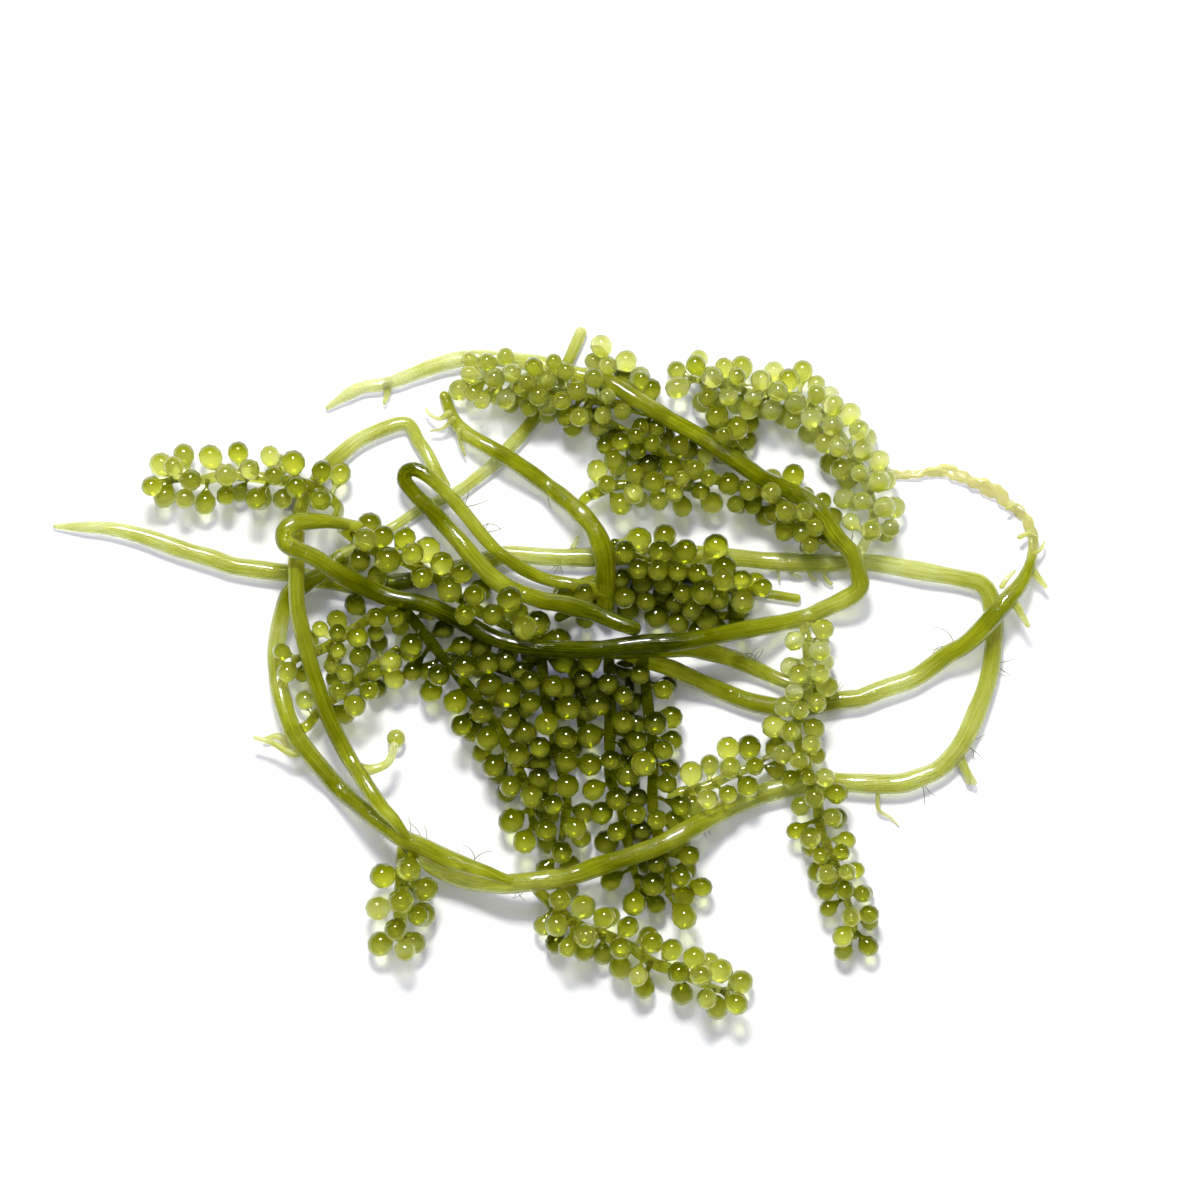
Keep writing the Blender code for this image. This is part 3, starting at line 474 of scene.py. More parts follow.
def make_piece(name, surfaces, materials):
    """One mesh from surfaces, each a dict of points, faces, grain, tone, glow and slot."""
    start, points, faces, slots = 0, [], [], []
    for surface in surfaces:
        points.append(surface["points"] * MM)
        for group in surface["faces"]:
            faces += (group + start).tolist()
            slots.append(np.full(len(group), surface.get("slot", 0)))
        start += len(surface["points"])
    mesh = bpy.data.meshes.new(name)
    mesh.from_pydata(np.vstack(points).tolist(), [], faces)
    mesh.polygons.foreach_set("material_index", np.concatenate(slots).astype(np.int32))
    mesh.shade_smooth()
    for key, kind, field in ATTRIBUTES:
        layer = mesh.attributes.new(key, kind, "POINT")
        values = [s[key] if key in s else np.zeros(len(s["points"])) for s in surfaces]
        layer.data.foreach_set(field, np.concatenate(values).ravel().astype(np.float32))
    for material in materials:
        mesh.materials.append(material)
    piece = bpy.data.objects.new(name, mesh)
    bpy.context.scene.collection.objects.link(piece)
    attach(piece, "root")
    return piece


def tube_faces(rings, sides):
    """Quads between neighbouring rings, and a fan of triangles to a pole at each end."""
    row = np.arange(rings - 1)[:, None] * sides
    here = np.arange(sides)[None, :]
    after = (here + 1) % sides
    quads = np.stack([row + here, row + after, row + sides + after, row + sides + here], axis=-1)
    first, last = rings * sides, rings * sides + 1
    turn = np.arange(sides)
    near = np.stack([np.full(sides, first), (turn + 1) % sides, turn], axis=-1)
    top = (rings - 1) * sides
    far = np.stack([np.full(sides, last), top + turn, top + (turn + 1) % sides], axis=-1)
    return [quads.reshape(-1, 4), near, far]


# %% [markdown]
# A living strand isn't a pipe. Its section has shallow ribs that wander, its thickness
# swells and narrows every few millimetres, and each end is rounded or drawn out to a
# tip. The section's radius is a product of those waves.

# %% A strand's surface
TUBE_STEP = 0.3
TUBE_SIDES = 20
TABLE = 0.015  # flesh presses flat against the surface, this far above it
CAP_SHARES = np.array([0.25, 0.55, 0.8, 0.95])  # rings of a round end, from its full ring out
SWELL_WAVES = 5
RIB_COUNTS = (2, 3, 5, 7)  # ribs round the section, one wave for each
POLE_OUT = 0.04  # how far a tube's last point stands out, as a share of its radius
MERGE_LENGTH = 7.0  # two runners that fork run together over this length
MERGE_SLIDE = 1.6  # how soon on that way the one has slid over to the other's axis
MERGE_THINNING = 0.75  # share of its radius that it loses there
NEARNESS = (1, 1, 0.6)  # weights of x, y and height when the nearest runner is looked for


def frames_along(path):
    """Unit tangent, level side = z x tangent, and up = tangent x side, at every point."""
    tangent = np.gradient(path, axis=0)
    tangent /= np.linalg.norm(tangent, axis=1)[:, None]
    side = np.cross(np.array([0, 0, 1.0]), tangent)
    side /= np.linalg.norm(side, axis=1)[:, None]
    return tangent, side, np.cross(tangent, side)


def strand_surface(path, radii, seed, sides=TUBE_SIDES, rough=0.045, rib=0.02, flat=None):
    """Point = path + R (cos a side + sin a up), R = radius (1 + swell waves) (1 + rib waves of a).

    Round caps: ring at share c of a half circle, pushed out by radius c, shrunk to sqrt(1 - c^2).
    """
    draw = np.random.default_rng(seed)
    tangent, side, up = frames_along(path)
    caps = np.sqrt(1 - CAP_SHARES**2)
    ends = [(0, -1, CAP_SHARES[::-1], caps[::-1]), (-1, 1, CAP_SHARES, caps)]
    ring_path = [path[e] + s * c * radii[e] * tangent[e] for e, s, cs, _ in ends for c in cs]
    half = len(CAP_SHARES)
    centre = np.vstack([ring_path[:half], path, ring_path[half:]])
    radius = np.concatenate([radii[0] * caps[::-1], radii, radii[-1] * caps])
    side = np.vstack([np.repeat(side[:1], half, 0), side, np.repeat(side[-1:], half, 0)])
    up = np.vstack([np.repeat(up[:1], half, 0), up, np.repeat(up[-1:], half, 0)])
    s = distance_along(centre)
    swell = sum(
        draw.uniform(0.4, 1) * np.sin(2 * np.pi * s / draw.uniform(3, 14) + draw.uniform(0, 6.3))
        for _ in range(SWELL_WAVES)
    )
    angle = np.linspace(0, 2 * np.pi, sides, endpoint=False)[None, :]
    ribs = sum(
        draw.uniform(0.3, 1) * np.sin(
            k * angle + draw.uniform(0, 6.3) + 1.2 * np.sin(2 * np.pi * s / draw.uniform(18, 40))[:, None]
        )
        for k in RIB_COUNTS
    )
    reach = (radius * (1 + rough * swell / 2))[:, None] * (1 + rib * ribs)
    across = np.cos(angle) * reach
    over = np.sin(angle) * reach
    if flat is not None:
        over = over * flat(s / s[-1])[:, None]
    points = centre[:, None] + across[..., None] * side[:, None] + over[..., None] * up[:, None]
    grain = np.stack([across, over, np.broadcast_to(s[:, None], across.shape)], axis=-1)
    first = centre[0] - POLE_OUT * radii[0] * tangent[0]
    last = centre[-1] + POLE_OUT * radii[-1] * tangent[-1]
    points = np.vstack([points.reshape(-1, 3), first, last])
    points[:, 2] = np.maximum(points[:, 2], TABLE)
    grain = np.vstack([grain.reshape(-1, 3), [[0, 0, s[0]], [0, 0, s[-1]]]])
    share = np.concatenate([np.repeat(s / s[-1], sides), [0, 1]])
    return {"points": points, "faces": tube_faces(len(centre), sides), "grain": grain + 50 * seed,
            "share": share}


def finer(strand, step=TUBE_STEP):
    """The strand's laid path, read again at a finer step through the same smooth curve."""
    path = smooth_route(np.vstack([strand["path"][:-1:2], strand["path"][-1:]]), step)
    share = distance_along(path)
    share /= share[-1]
    return path, np.interp(share, strand["along"] / strand["along"][-1], strand["radii"])


def nearest_runner(place, name):
    """How far the nearest runner but this one is from a place, its path, and the point of it."""
    found = []
    for other in strands:
        if not other["berry"] and other["name"] != name:
            apart = np.linalg.norm((other["path"] - place) * NEARNESS, axis=1)
            found.append((apart.min(), other["path"], other["path"][apart.argmin()]))
    return min(found, key=lambda row: row[0])


def hermite(t, start, leave, end, arrive):
    """(2t^3-3t^2+1) start + (t^3-2t^2+t) leave + (3t^2-2t^3) end + (t^3-t^2) arrive."""
    return ((2 * t**3 - 3 * t**2 + 1) * start + (t**3 - 2 * t**2 + t) * leave
            + (3 * t**2 - 2 * t**3) * end + (t**3 - t**2) * arrive)


def run_along(path, radii, name):
    """Carries a path's start on into the nearest runner: it slides over to the runner's axis and thins."""
    other = nearest_runner(path[0], name)[1]
    nearest = np.linalg.norm(other - path[0], axis=1).argmin()
    back = (path[0] - path[4]) / np.linalg.norm(path[0] - path[4])
    step = 1 if (other[min(nearest + 4, len(other) - 1)] - other[max(nearest - 4, 0)]) @ back > 0 else -1
    count = int(MERGE_LENGTH / SAMPLE_STEP)
    places = np.clip(nearest + step * np.arange(1, count + 1), 0, len(other) - 1)
    share = np.arange(1, count + 1) / count
    ease = (share**2 * (3 - 2 * share))[:, None]
    own = path[0] + back * SAMPLE_STEP * np.arange(1, count + 1)[:, None]
    slide = np.clip(MERGE_SLIDE * ease, 0, 1)
    tail = (1 - slide) * own + slide * other[places]
    thin = radii[0] * (1 - MERGE_THINNING * share)
    path, radii = np.vstack([tail[::-1], path]), np.concatenate([thin[::-1], radii])
    moved = np.linalg.norm(np.diff(path, axis=0), axis=1) > 0.05
    kept = np.concatenate([moved, [True]])
    return path[kept], radii[kept]


def carried_to(path, radii, goal, wide):
    """Adds a Hermite curve from the path's end to a point, where the radius is another."""
    span = np.linalg.norm(goal - path[-1])
    t = np.arange(1, int(span / TUBE_STEP) + 1)[:, None] / int(span / TUBE_STEP)
    ahead = (path[-1] - path[-3]) / np.linalg.norm(path[-1] - path[-3]) * span
    curve = hermite(t, path[-1], ahead, goal, goal - path[-1])
    return np.vstack([path, curve]), np.concatenate([radii, radii[-1] + t[:, 0] * (wide - radii[-1])])


def grown_on(path, radii, name, reach):
    """Adds a Hermite curve from the nearest runner's axis to the path's start, if within reach."""
    apart, _, origin = nearest_runner(path[0], name)
    if apart > reach:
        return path, radii
    span = np.linalg.norm(origin - path[0])
    t = np.arange(0, 1, TUBE_STEP / max(span, TUBE_STEP))[:, None]
    ahead = (path[2] - path[0]) / np.linalg.norm(path[2] - path[0]) * span
    curve = hermite(t, origin, (path[0] - origin) * 0.8, path[0], ahead)
    return np.vstack([curve, path]), np.concatenate([np.full(len(curve), radii[0]), radii])


# %% [markdown]
# A berry and its stalk are one turned surface: a thin neck that widens into a ball,
# carried along the line from the stem to the berry. All berries of a frond are worked
# out in one array of berry, ring and turn, with a few dozen faces each, because there
# are hundreds of them.

# %% A frond's berries
BERRY_SIDES = 10
BERRY_SCALE = 1.1  # a round berry, next to its many-sided solid
# Fronds whose berries are larger than that, next to their solids
LARGER = {"frond_long_strand": 1.25, "frond_top_inner": 1.2, "frond_upper_middle": 1.2,
          "frond_centre_left": 1.18, "frond_right_middle": 1.15, "frond_top_right": 1.2}
NECK = np.array([[0.0, 0.36], [0.66, 0.21]])  # share of the stalk, radius in mm
BALL_TURNS = np.radians([150, 118, 86, 54, 22])  # angle from the far pole
TO_LIGHT = np.array([-0.06, 0.64, 0.77]) / np.linalg.norm([-0.06, 0.64, 0.77])
PAINTED_GLOW_SIDE = np.array([0.05, -0.8, 0.6])  # painted glow: the side away from the light, where the glow is painted
DIMMING = 0.55  # how strongly each ball in the way keeps light from a berry
UNLIT_PAINTED_GLOW = 0.35  # painted glow of a berry in full shade, next to one in the light
PAINTED_SHADE_TONE = 0.26  # painted shade: how much deeper a berry in full shade is coloured
LAMP_SIDE_PAINTED_SHADE = 0.36  # painted shade: how much deeper the side towards the lamp is coloured, and paler the side away from it
STALK_TONE = 0.2  # how much paler a stalk is than its berry


def light_reaching(centres, radii):
    """exp(-sum of how far each ball in the way covers the line from a berry to the light)."""
    ball, size = room.balls[:, :3], room.balls[:, 3]
    apart = ball[None] - centres[:, None]
    ahead = apart @ TO_LIGHT
    aside = np.sqrt(np.maximum((apart**2).sum(-1) - ahead**2, 0))
    cover = np.clip((size[None] + 0.4 * radii[:, None] - aside) / size[None], 0, 1)
    weight = np.where(room.balls[:, 5] == 1, SAMPLE_STEP / 2, 1)[None]
    return np.exp(-DIMMING * (cover * weight * (ahead > radii[:, None] * 0.9)).sum(axis=1))


def berry_faces(rings):
    """Quads between the rings, and a flat face at each end: one inside the stem, one small one at the tip."""
    turn = np.arange(BERRY_SIDES)
    return [tube_faces(rings, BERRY_SIDES)[0], turn[None, ::-1], turn[None] + (rings - 1) * BERRY_SIDES]


def berry_surface(rows, tone, seed, scale=BERRY_SCALE):
    """Ring centre = root + t way, ring radius r(t): neck radii, then R sin b at reach + R cos b."""
    draw = np.random.default_rng(seed)
    root, centre, radius = rows[:, :3], rows[:, 3:6], rows[:, 6] * scale
    way = centre - root
    reach = np.linalg.norm(way, axis=1)
    way /= reach[:, None]
    side = np.cross(way, [0.31, 0.17, 0.94])
    side /= np.linalg.norm(side, axis=1)[:, None]
    up = np.cross(way, side)
    long = draw.uniform(1.0, 1.07, len(rows))
    stalk = reach - 0.93 * radius
    along = np.concatenate([
        stalk[:, None] * NECK[:, 0],
        reach[:, None] + (radius * long)[:, None] * np.cos(BALL_TURNS),
    ], axis=1)
    thick = draw.uniform(0.8, 1.2, len(rows))[:, None]
    ring = np.concatenate([NECK[:, 1] * thick, radius[:, None] * np.sin(BALL_TURNS)], axis=1)
    bow = draw.normal(0, 0.1, (len(rows), 2))
    bend = np.sin(np.pi * np.clip(along / stalk[:, None], 0, 1))
    middle = (root[:, None] + along[..., None] * way[:, None]
              + (bend * bow[:, :1])[..., None] * side[:, None]
              + (bend * bow[:, 1:])[..., None] * up[:, None])
    angle = np.linspace(0, 2 * np.pi, BERRY_SIDES, endpoint=False)
    cosine, sine = np.cos(angle)[:, None], np.sin(angle)[:, None]
    circle = cosine * side[:, None, None] + sine * up[:, None, None]
    block = (middle[:, :, None] + ring[..., None, None] * circle).reshape(len(rows), -1, 3)
    rings = len(NECK) + len(BALL_TURNS)
    start = (np.arange(len(rows)) * block.shape[1])[:, None, None]
    faces = [(group[None] + start).reshape(-1, group.shape[1]) for group in berry_faces(rings)]
    out = (block - centre[:, None]) / radius[:, None, None]
    # Painted light: a bright glow on each berry's side away from the lamp, weaker where other strands shade it
    toward = np.clip((out @ PAINTED_GLOW_SIDE - 0.45) / 0.4, 0, 1)
    lit = light_reaching(centre, radius)
    on_ball = np.linalg.norm(out, axis=2) < 1.2
    painted_glow = toward * (UNLIT_PAINTED_GLOW + (1 - UNLIT_PAINTED_GLOW) * lit)[:, None] * on_ball
    # Painted shade and light: a berry that other strands keep from the lamp gets a deeper tone, a well lit one
    # a paler tone
    own = tone + draw.normal(0, 0.12, len(rows)) + PAINTED_SHADE_TONE * (0.6 - lit)
    fleshy = np.repeat(np.clip((along / stalk[:, None] - 0.3) / 0.5, 0, 1), BERRY_SIDES, axis=1)
    # Painted shade and light: the side towards the lamp is coloured deeper, the far side paler
    painted_lamp_side_shade = LAMP_SIDE_PAINTED_SHADE * out[..., 1].clip(-1, 1)
    tones = (own[:, None] - STALK_TONE * (1 - fleshy) + painted_lamp_side_shade).clip(0, 1)
    grain = (block - centre[:, None]) + draw.uniform(-90, 90, (len(rows), 1, 3))
    block = block.reshape(-1, 3)
    block[:, 2] = np.maximum(block[:, 2], TABLE)
    return {"points": block, "faces": faces, "grain": grain.reshape(-1, 3),
            "tone": tones.ravel(), "painted_glow": painted_glow.ravel()}


# %% [markdown]
# ## Materials
#
# The plant is clear, watery flesh with green pigment in it, and it is wet. To the eye
# that is three things: a sharp white highlight, a green that is pale where one layer
# lies over the white surface and dark where several lie over each other, and a bright
# crescent in each berry, on the side away from the lamp, where the berry gathers light
# as a small lens does. The gloss gives the first. Refraction tinted by the flesh gives
# the second. The third is painted light: each point's painted glow mixes in a bright
# colour. Painted shade also deepens the tone of shaded berries and shaded runners.

# %% Colours and nodes
def linear_colour(code):
    """Linear RGBA of an sRGB hex colour: c / 12.92, or ((c + 0.055) / 1.055)^2.4 above 0.04045."""
    channels = [int(code[i : i + 2], 16) / 255 for i in (1, 3, 5)]
    return [c / 12.92 if c <= 0.04045 else ((c + 0.055) / 1.055) ** 2.4 for c in channels] + [1]


def add_node(material, kind, links=(), **settings):
    """A node of this kind: settings by name or socket, and (socket, output) links into it."""
    node = material.node_tree.nodes.new("ShaderNode" + kind)
    for key, value in settings.items():
        if hasattr(node, key):
            setattr(node, key, value)
        else:
            node.inputs[key.replace("_", " ")].default_value = value
    for socket, output in links:
        material.node_tree.links.new(output, node.inputs[socket])
    return node


def new_material(name):
    """An empty material, ready for its nodes."""
    material = bpy.data.materials.new(name)
    material.use_nodes = True
    material.node_tree.nodes.clear()
    return material


def ramp(material, output, stops):
    """A colour ramp through (place, RGBA) stops."""
    node = add_node(material, "ValToRGB", [("Fac", output)])
    elements = node.color_ramp.elements
    while len(elements) < len(stops):
        elements.new(0.5)
    for element, (place, colour) in zip(elements, stops):
        element.position = place
        element.color = colour
    return node.outputs["Color"]


# %% [markdown]
# Fine dark streaks run along the strands: they are the threads of the plant's inner
# net, about a tenth of a millimetre apart. The lamp's light goes on through the flesh,
# so what lies under it is tinted and not black.

# %% Wet flesh
# From pale young flesh to deep olive, by tone
FLESH = ((0.0, "#e2e6a6"), (0.15, "#cdd370"), (0.4, "#adb32a"), (0.65, "#848b04"), (0.85, "#5a6200"),
         (1.0, "#343b00"))
PAINTED_GLOW = "#dde44a"  # painted glow: bright colour painted on a berry's far side from the lamp
STRAW = "#dcd898"  # withered flesh
THROUGH = "#9a9ab8"  # what the lamp's light keeps at each surface that it goes through
FLESH_IOR = 1.3
DRIFT = 0.4  # how far the tone drifts from place to place
STREAK_SCALE = (8.5, 8.5, 0.12)  # streaks a millimetre: 8.5 across the strand, one in 8 mm along it
DENTS_PER_MM = 3.0
DENT_MM = 0.1


def wet_flesh(name, clear, inner, streak, roughness):
    """Tone, drifting a little and darkened by streaks if there are any, picks the colour on the ramp."""
    material = new_material(name)
    tone = add_node(material, "Attribute", attribute_name="tone").outputs["Fac"]
    grain = add_node(material, "Attribute", attribute_name="grain").outputs["Vector"]
    painted_glow = add_node(material, "Attribute", attribute_name="painted_glow").outputs["Fac"]
    dry = add_node(material, "Attribute", attribute_name="dry").outputs["Fac"]
    cloud = add_node(material, "TexNoise", [("Vector", grain)], Scale=0.3, Detail=1.0)
    drift = add_node(material, "Math", [(0, cloud.outputs["Fac"])], operation="MULTIPLY_ADD")
    drift.inputs[1].default_value, drift.inputs[2].default_value = DRIFT, -(DRIFT + streak) / 2
    shade = add_node(material, "Math", [(0, tone), (1, drift.outputs[0])], operation="ADD", use_clamp=True)
    surface = []
    if streak:
        along = add_node(material, "Mapping", [("Vector", grain)], Scale=STREAK_SCALE)
        streaks = add_node(material, "TexNoise", [("Vector", along.outputs[0])], Scale=1.0, Detail=3.0)
        shade.use_clamp = False
        shade = add_node(
            material, "Math", [(0, streaks.outputs["Fac"]), (2, shade.outputs[0])],
            operation="MULTIPLY_ADD", use_clamp=True,
        )
        shade.inputs[1].default_value = streak
        dents = add_node(material, "TexNoise", [("Vector", grain)], Scale=DENTS_PER_MM, Detail=1.0)
        relief = add_node(
            material, "Math", [(0, dents.outputs["Fac"]), (2, streaks.outputs["Fac"])],
            operation="MULTIPLY_ADD",
        )
        relief.inputs[1].default_value = 1.5
        bump = add_node(
            material, "Bump", [("Height", relief.outputs[0])], Strength=0.6, Distance=DENT_MM * MM
        )
        surface = [("Normal", bump.outputs[0])]
    body = ramp(material, shade.outputs[0], [(place, linear_colour(code)) for place, code in FLESH])
    # Painted light: the painted glow mixes a bright yellow-green into the flesh colour
    bright = add_node(material, "MixRGB", [("Fac", painted_glow), ("Color1", body)], Color2=linear_colour(PAINTED_GLOW))
    straw = add_node(
        material, "MixRGB", [("Fac", dry), ("Color1", bright.outputs[0])], Color2=linear_colour(STRAW)
    )
    gloss = add_node(
        material, "BsdfPrincipled", [("Base Color", straw.outputs[0])] + surface,
        Roughness=roughness, IOR=FLESH_IOR, Transmission_Weight=clear,
        Coat_Weight=0.8, Coat_Roughness=0.02, Coat_IOR=1.5,
        Subsurface_Weight=inner, Subsurface_Scale=0.0012, Subsurface_Radius=(1.0, 1.0, 0.25),
    )
    ray = add_node(material, "LightPath")
    through = add_node(material, "BsdfTransparent", Color=linear_colour(THROUGH))
    mix = add_node(
        material, "MixShader",
        [(0, ray.outputs["Is Shadow Ray"]), (1, gloss.outputs[0]), (2, through.outputs[0])],
    )
    add_node(material, "OutputMaterial", [("Surface", mix.outputs[0])])
    return material


# Runners are streaked and scatter light inside. Berries are clearer and smoother.
runner_flesh = wet_flesh("wet_runner_flesh", clear=0.55, inner=1.0, streak=0.7, roughness=0.1)
berry_flesh = wet_flesh("wet_berry_flesh", clear=0.8, inner=0.0, streak=0.0, roughness=0.04)

# %% [markdown]
# A rootlet is a dull, nearly colourless thread. A berry that has lost its green is clear.

# %% Rootlets and clear flesh
rootlet_hair = new_material("dull_rootlet_threads")
hair = add_node(rootlet_hair, "BsdfPrincipled", Base_Color=linear_colour("#6a6c52"), Roughness=0.5)
add_node(rootlet_hair, "OutputMaterial", [("Surface", hair.outputs[0])])
clear_flesh = new_material("clear_empty_flesh")
water = add_node(clear_flesh, "BsdfPrincipled", Base_Color=linear_colour("#c4c8c8"), Roughness=0.05,
                 IOR=1.34, Transmission_Weight=0.9)
add_node(clear_flesh, "OutputMaterial", [("Surface", water.outputs[0])])


# %% [markdown]
# ## The runners
#
# Each runner takes the place of its solid. Old flesh is deep green and young flesh is
# pale, and one runner has both, so each has its own tones along it. These tones also
# carry painted shade: they are deeper where a runner lies under others or in the shadow
# of the heap. A runner's side shoots are tubes of their own that start inside it. The far
# end of the right-hand runner has withered: it is flat, twisted and straw-coloured.

# %% Dress the runners
# Tone along each runner by share of its length: its flesh colour, with painted shade where it lies under
# others or in the heap's shadow
TONES_AND_PAINTED_SHADE = {
    "runner_outer_loop": ((0, -0.05), (0.06, 0.14), (0.15, 0.3), (0.21, 0.8), (0.25, 0.5), (0.29, 0.1),
                          (0.36, 0.62), (0.4, 0.3), (0.46, 0.24), (0.5, 0.05), (0.57, 0.35), (0.64, 0.15),
                          (0.71, 0.22), (0.79, 0.25), (0.86, 0.6), (0.93, 0.32), (1, 0.2)),
    "runner_left_loop": ((0, 0.62), (0.14, 0.62), (0.2, 0.08), (0.28, 0.27), (0.4, 0.42), (0.52, 0.54),
                         (0.64, 0.62), (0.73, 0.42), (0.82, 0.5), (1, 0.3)),
    "runner_crossing": ((0, 0.05), (0.1, 0.32), (0.2, 0.42), (0.32, 0.4), (0.38, 0.1), (0.7, 0.12),
                        (1, 0.25)),
    "runner_under_middle": ((0, 0.5), (0.35, 0.6), (0.5, 0.85), (0.8, 0.6), (1, 0.3)),
    "runner_left_upright": ((0, 0.4), (0.1, 0.42), (0.3, 0.64), (0.4, 0.52), (0.5, 0.36), (0.58, 0.44),
                            (0.66, 0.42), (0.72, 0.46), (0.79, 0.06), (0.86, 0.22), (0.93, 0.26), (1, 0.28)),
    "runner_right_arm": ((0, 0.65), (0.14, 0.45), (0.22, 0.5), (0.29, 0.55), (0.36, 0.3), (0.43, 0.14),
                         (0.5, 0.34), (0.58, 0.56), (0.66, 0.52), (0.72, 0.5), (0.8, 0.2), (1, 0.05)),
    "runner_short_right": ((0, 0.85), (0.3, 0.78), (0.43, 0.56), (0.6, 0.36), (0.7, 0.42), (1, 0.6)),
    "runner_hook": ((0, 0.48), (0.15, 0.34), (0.3, 0.56), (0.6, 0.6), (0.8, 0.6), (1, 0.66)),
    "runner_long_top": ((0, -0.1), (0.06, 0.0), (0.15, 0.1), (0.21, 0.48), (0.29, 0.6), (0.36, 0.74),
                        (0.43, 0.5), (0.5, 0.28), (0.57, 0.55), (0.63, 0.9), (0.72, 0.92), (0.79, 0.9),
                        (0.86, 0.7), (0.93, 0.5), (1, 0.45)),
    "runner_folded": ((0, 0.85), (0.1, 0.75), (0.2, 0.55), (0.33, 0.36), (0.43, 0.6), (0.5, 0.74), (0.57, 0.8),
                      (0.64, 0.3), (0.7, 0.4), (0.79, 0.55), (1, 0.55)),
}
# Runners that fork: their start, or their end, runs on into the nearest runner
JOINED_START = ("runner_left_upright", "runner_right_arm", "runner_short_right")
JOINED_END = ("runner_left_loop", "runner_short_right")
# Ends that are hidden under others: the strand that they go on to, and the place on it
HIDDEN_END = {"runner_crossing": ("runner_left_loop", 0), "runner_folded": ("runner_hook", -4)}
WITHERED = (0.7, 0.77)  # shares of the right-hand runner between which it withers
FLATTENED = 0.45  # share of its height that the withered end loses


def shoot_surface(strand, shoot, seed):
    """A side shoot: a tube as high as the runner where it leaves it, paler towards its tip."""
    route, wide, narrow = shoot
    flat = smooth_route(route, TUBE_STEP)
    nearest = np.argmin(np.linalg.norm(strand["path"][:, :2] - flat[0], axis=1))
    path = np.column_stack([flat, np.full(len(flat), strand["path"][nearest, 2])])
    surface = strand_surface(path, 0.5 * np.linspace(wide, narrow, len(flat)), seed, sides=14, rough=0.12)
    surface["tone"] = np.clip(0.3 - 0.35 * surface["share"], 0, 1)
    return surface


def dress_runner(number, strand):
    """The runner and its shoots as one piece in place of its solid; gives the number of faces."""
    path, radii = finer(strand)
    if strand["name"] in JOINED_START:
        path, radii = run_along(path, radii, strand["name"])
    if strand["name"] in JOINED_END:
        path, radii = run_along(path[::-1], radii[::-1], strand["name"])
        path, radii = path[::-1], radii[::-1]
    if strand["name"] in HIDDEN_END:
        other, place = HIDDEN_END[strand["name"]]
        path, radii = carried_to(path, radii, by_name[other]["path"][place], by_name[other]["radii"][place])
    withers = strand["name"] == "runner_right_arm"
    flat = (lambda s: 1 - FLATTENED * np.clip((s - WITHERED[0]) / 0.08, 0, 1)) if withers else None
    surface = strand_surface(path, radii, number + 1, flat=flat)
    places, tones = zip(*TONES_AND_PAINTED_SHADE[strand["name"]])
    surface["tone"] = np.interp(surface["share"], places, tones)
    if withers:
        dry = np.clip((surface["share"] - WITHERED[0]) / (WITHERED[1] - WITHERED[0]), 0, 1)
        surface["dry"] = dry
        middle = np.repeat(surface["points"][:-2].reshape(-1, TUBE_SIDES, 3).mean(axis=1), TUBE_SIDES, axis=0)
        turn = np.tile(np.linspace(0, 2 * np.pi, TUBE_SIDES, endpoint=False), len(middle) // TUBE_SIDES)
        s = surface["grain"][:-2, 2] - 50 * (number + 1)
        crumple = 0.3 * np.sin(2 * turn + 1.1 * s) + 0.2 * np.sin(3 * turn - 1.9 * s) + 0.14 * np.sin(5 * s)
        spread = (1 + crumple * dry[:-2])[:, None]
        surface["points"][:-2] = middle + (surface["points"][:-2] - middle) * spread
        surface["points"][:, 2] = np.maximum(surface["points"][:, 2], TABLE)
    shoots = [shoot_surface(strand, shoot, 60 + number + k) for k, shoot in enumerate(strand["shoots"])]
    piece = make_piece(strand["name"] + "_flesh", [surface] + shoots, [runner_flesh])
    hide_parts(strand["name"])
    return len(piece.data.polygons)


faces = [dress_runner(i, s) for i, s in enumerate(strands) if not s["berry"]]
print("runner faces:", faces)

# %% [markdown]
# ## The fronds
#
# A frond is its stem and its berries in one piece, as it grew. Its stem bends over to
# the nearest runner, which it grows from.

# %% Dress the fronds
# Tone at the base, in the middle and at the tip
FROND_TONES = {
    "frond_left": (0.48, 0.36, 0.3), "frond_upper_middle": (0.5, 0.4, 0.16),
    "frond_below_hook": (0.42, 0.42, 0.42), "frond_lower_left": (0.5, 0.4, 0.32),
    "frond_bottom": (0.38, 0.46, 0.4), "frond_under_arm": (0.36, 0.34, 0.3),
    "frond_top_right": (0.02, 0.14, 0.34), "frond_right_lower": (0.06, 0.45, 0.42),
    "frond_top_inner": (0.5, 0.46, 0.38), "frond_long_strand": (0.4, 0.56, 0.52),
    "frond_left_inner_1": (0.65, 0.5, 0.4), "frond_left_inner_2": (0.38, 0.5, 0.62),
    "frond_right_middle": (0.74, 0.6, 0.54), "frond_centre_left": (0.5, 0.58, 0.72),
    "low_frond_middle": (0.8, 0.7, 0.6), "low_frond_top": (0.26, 0.12, 0.02),
}
FROND_TONE = (0.82, 0.74, 0.62)  # of the fronds in the heart
LOW_TONE = (0.92, 0.92, 0.92)  # of the low fronds there: deepest of all, painted shade, since they lie under everything
JOIN_REACH = 6.5  # furthest, in mm, that a stem bends over to a runner
FROM_BEHIND = {"frond_right_middle": 6}  # points of this path that a runner over it hides


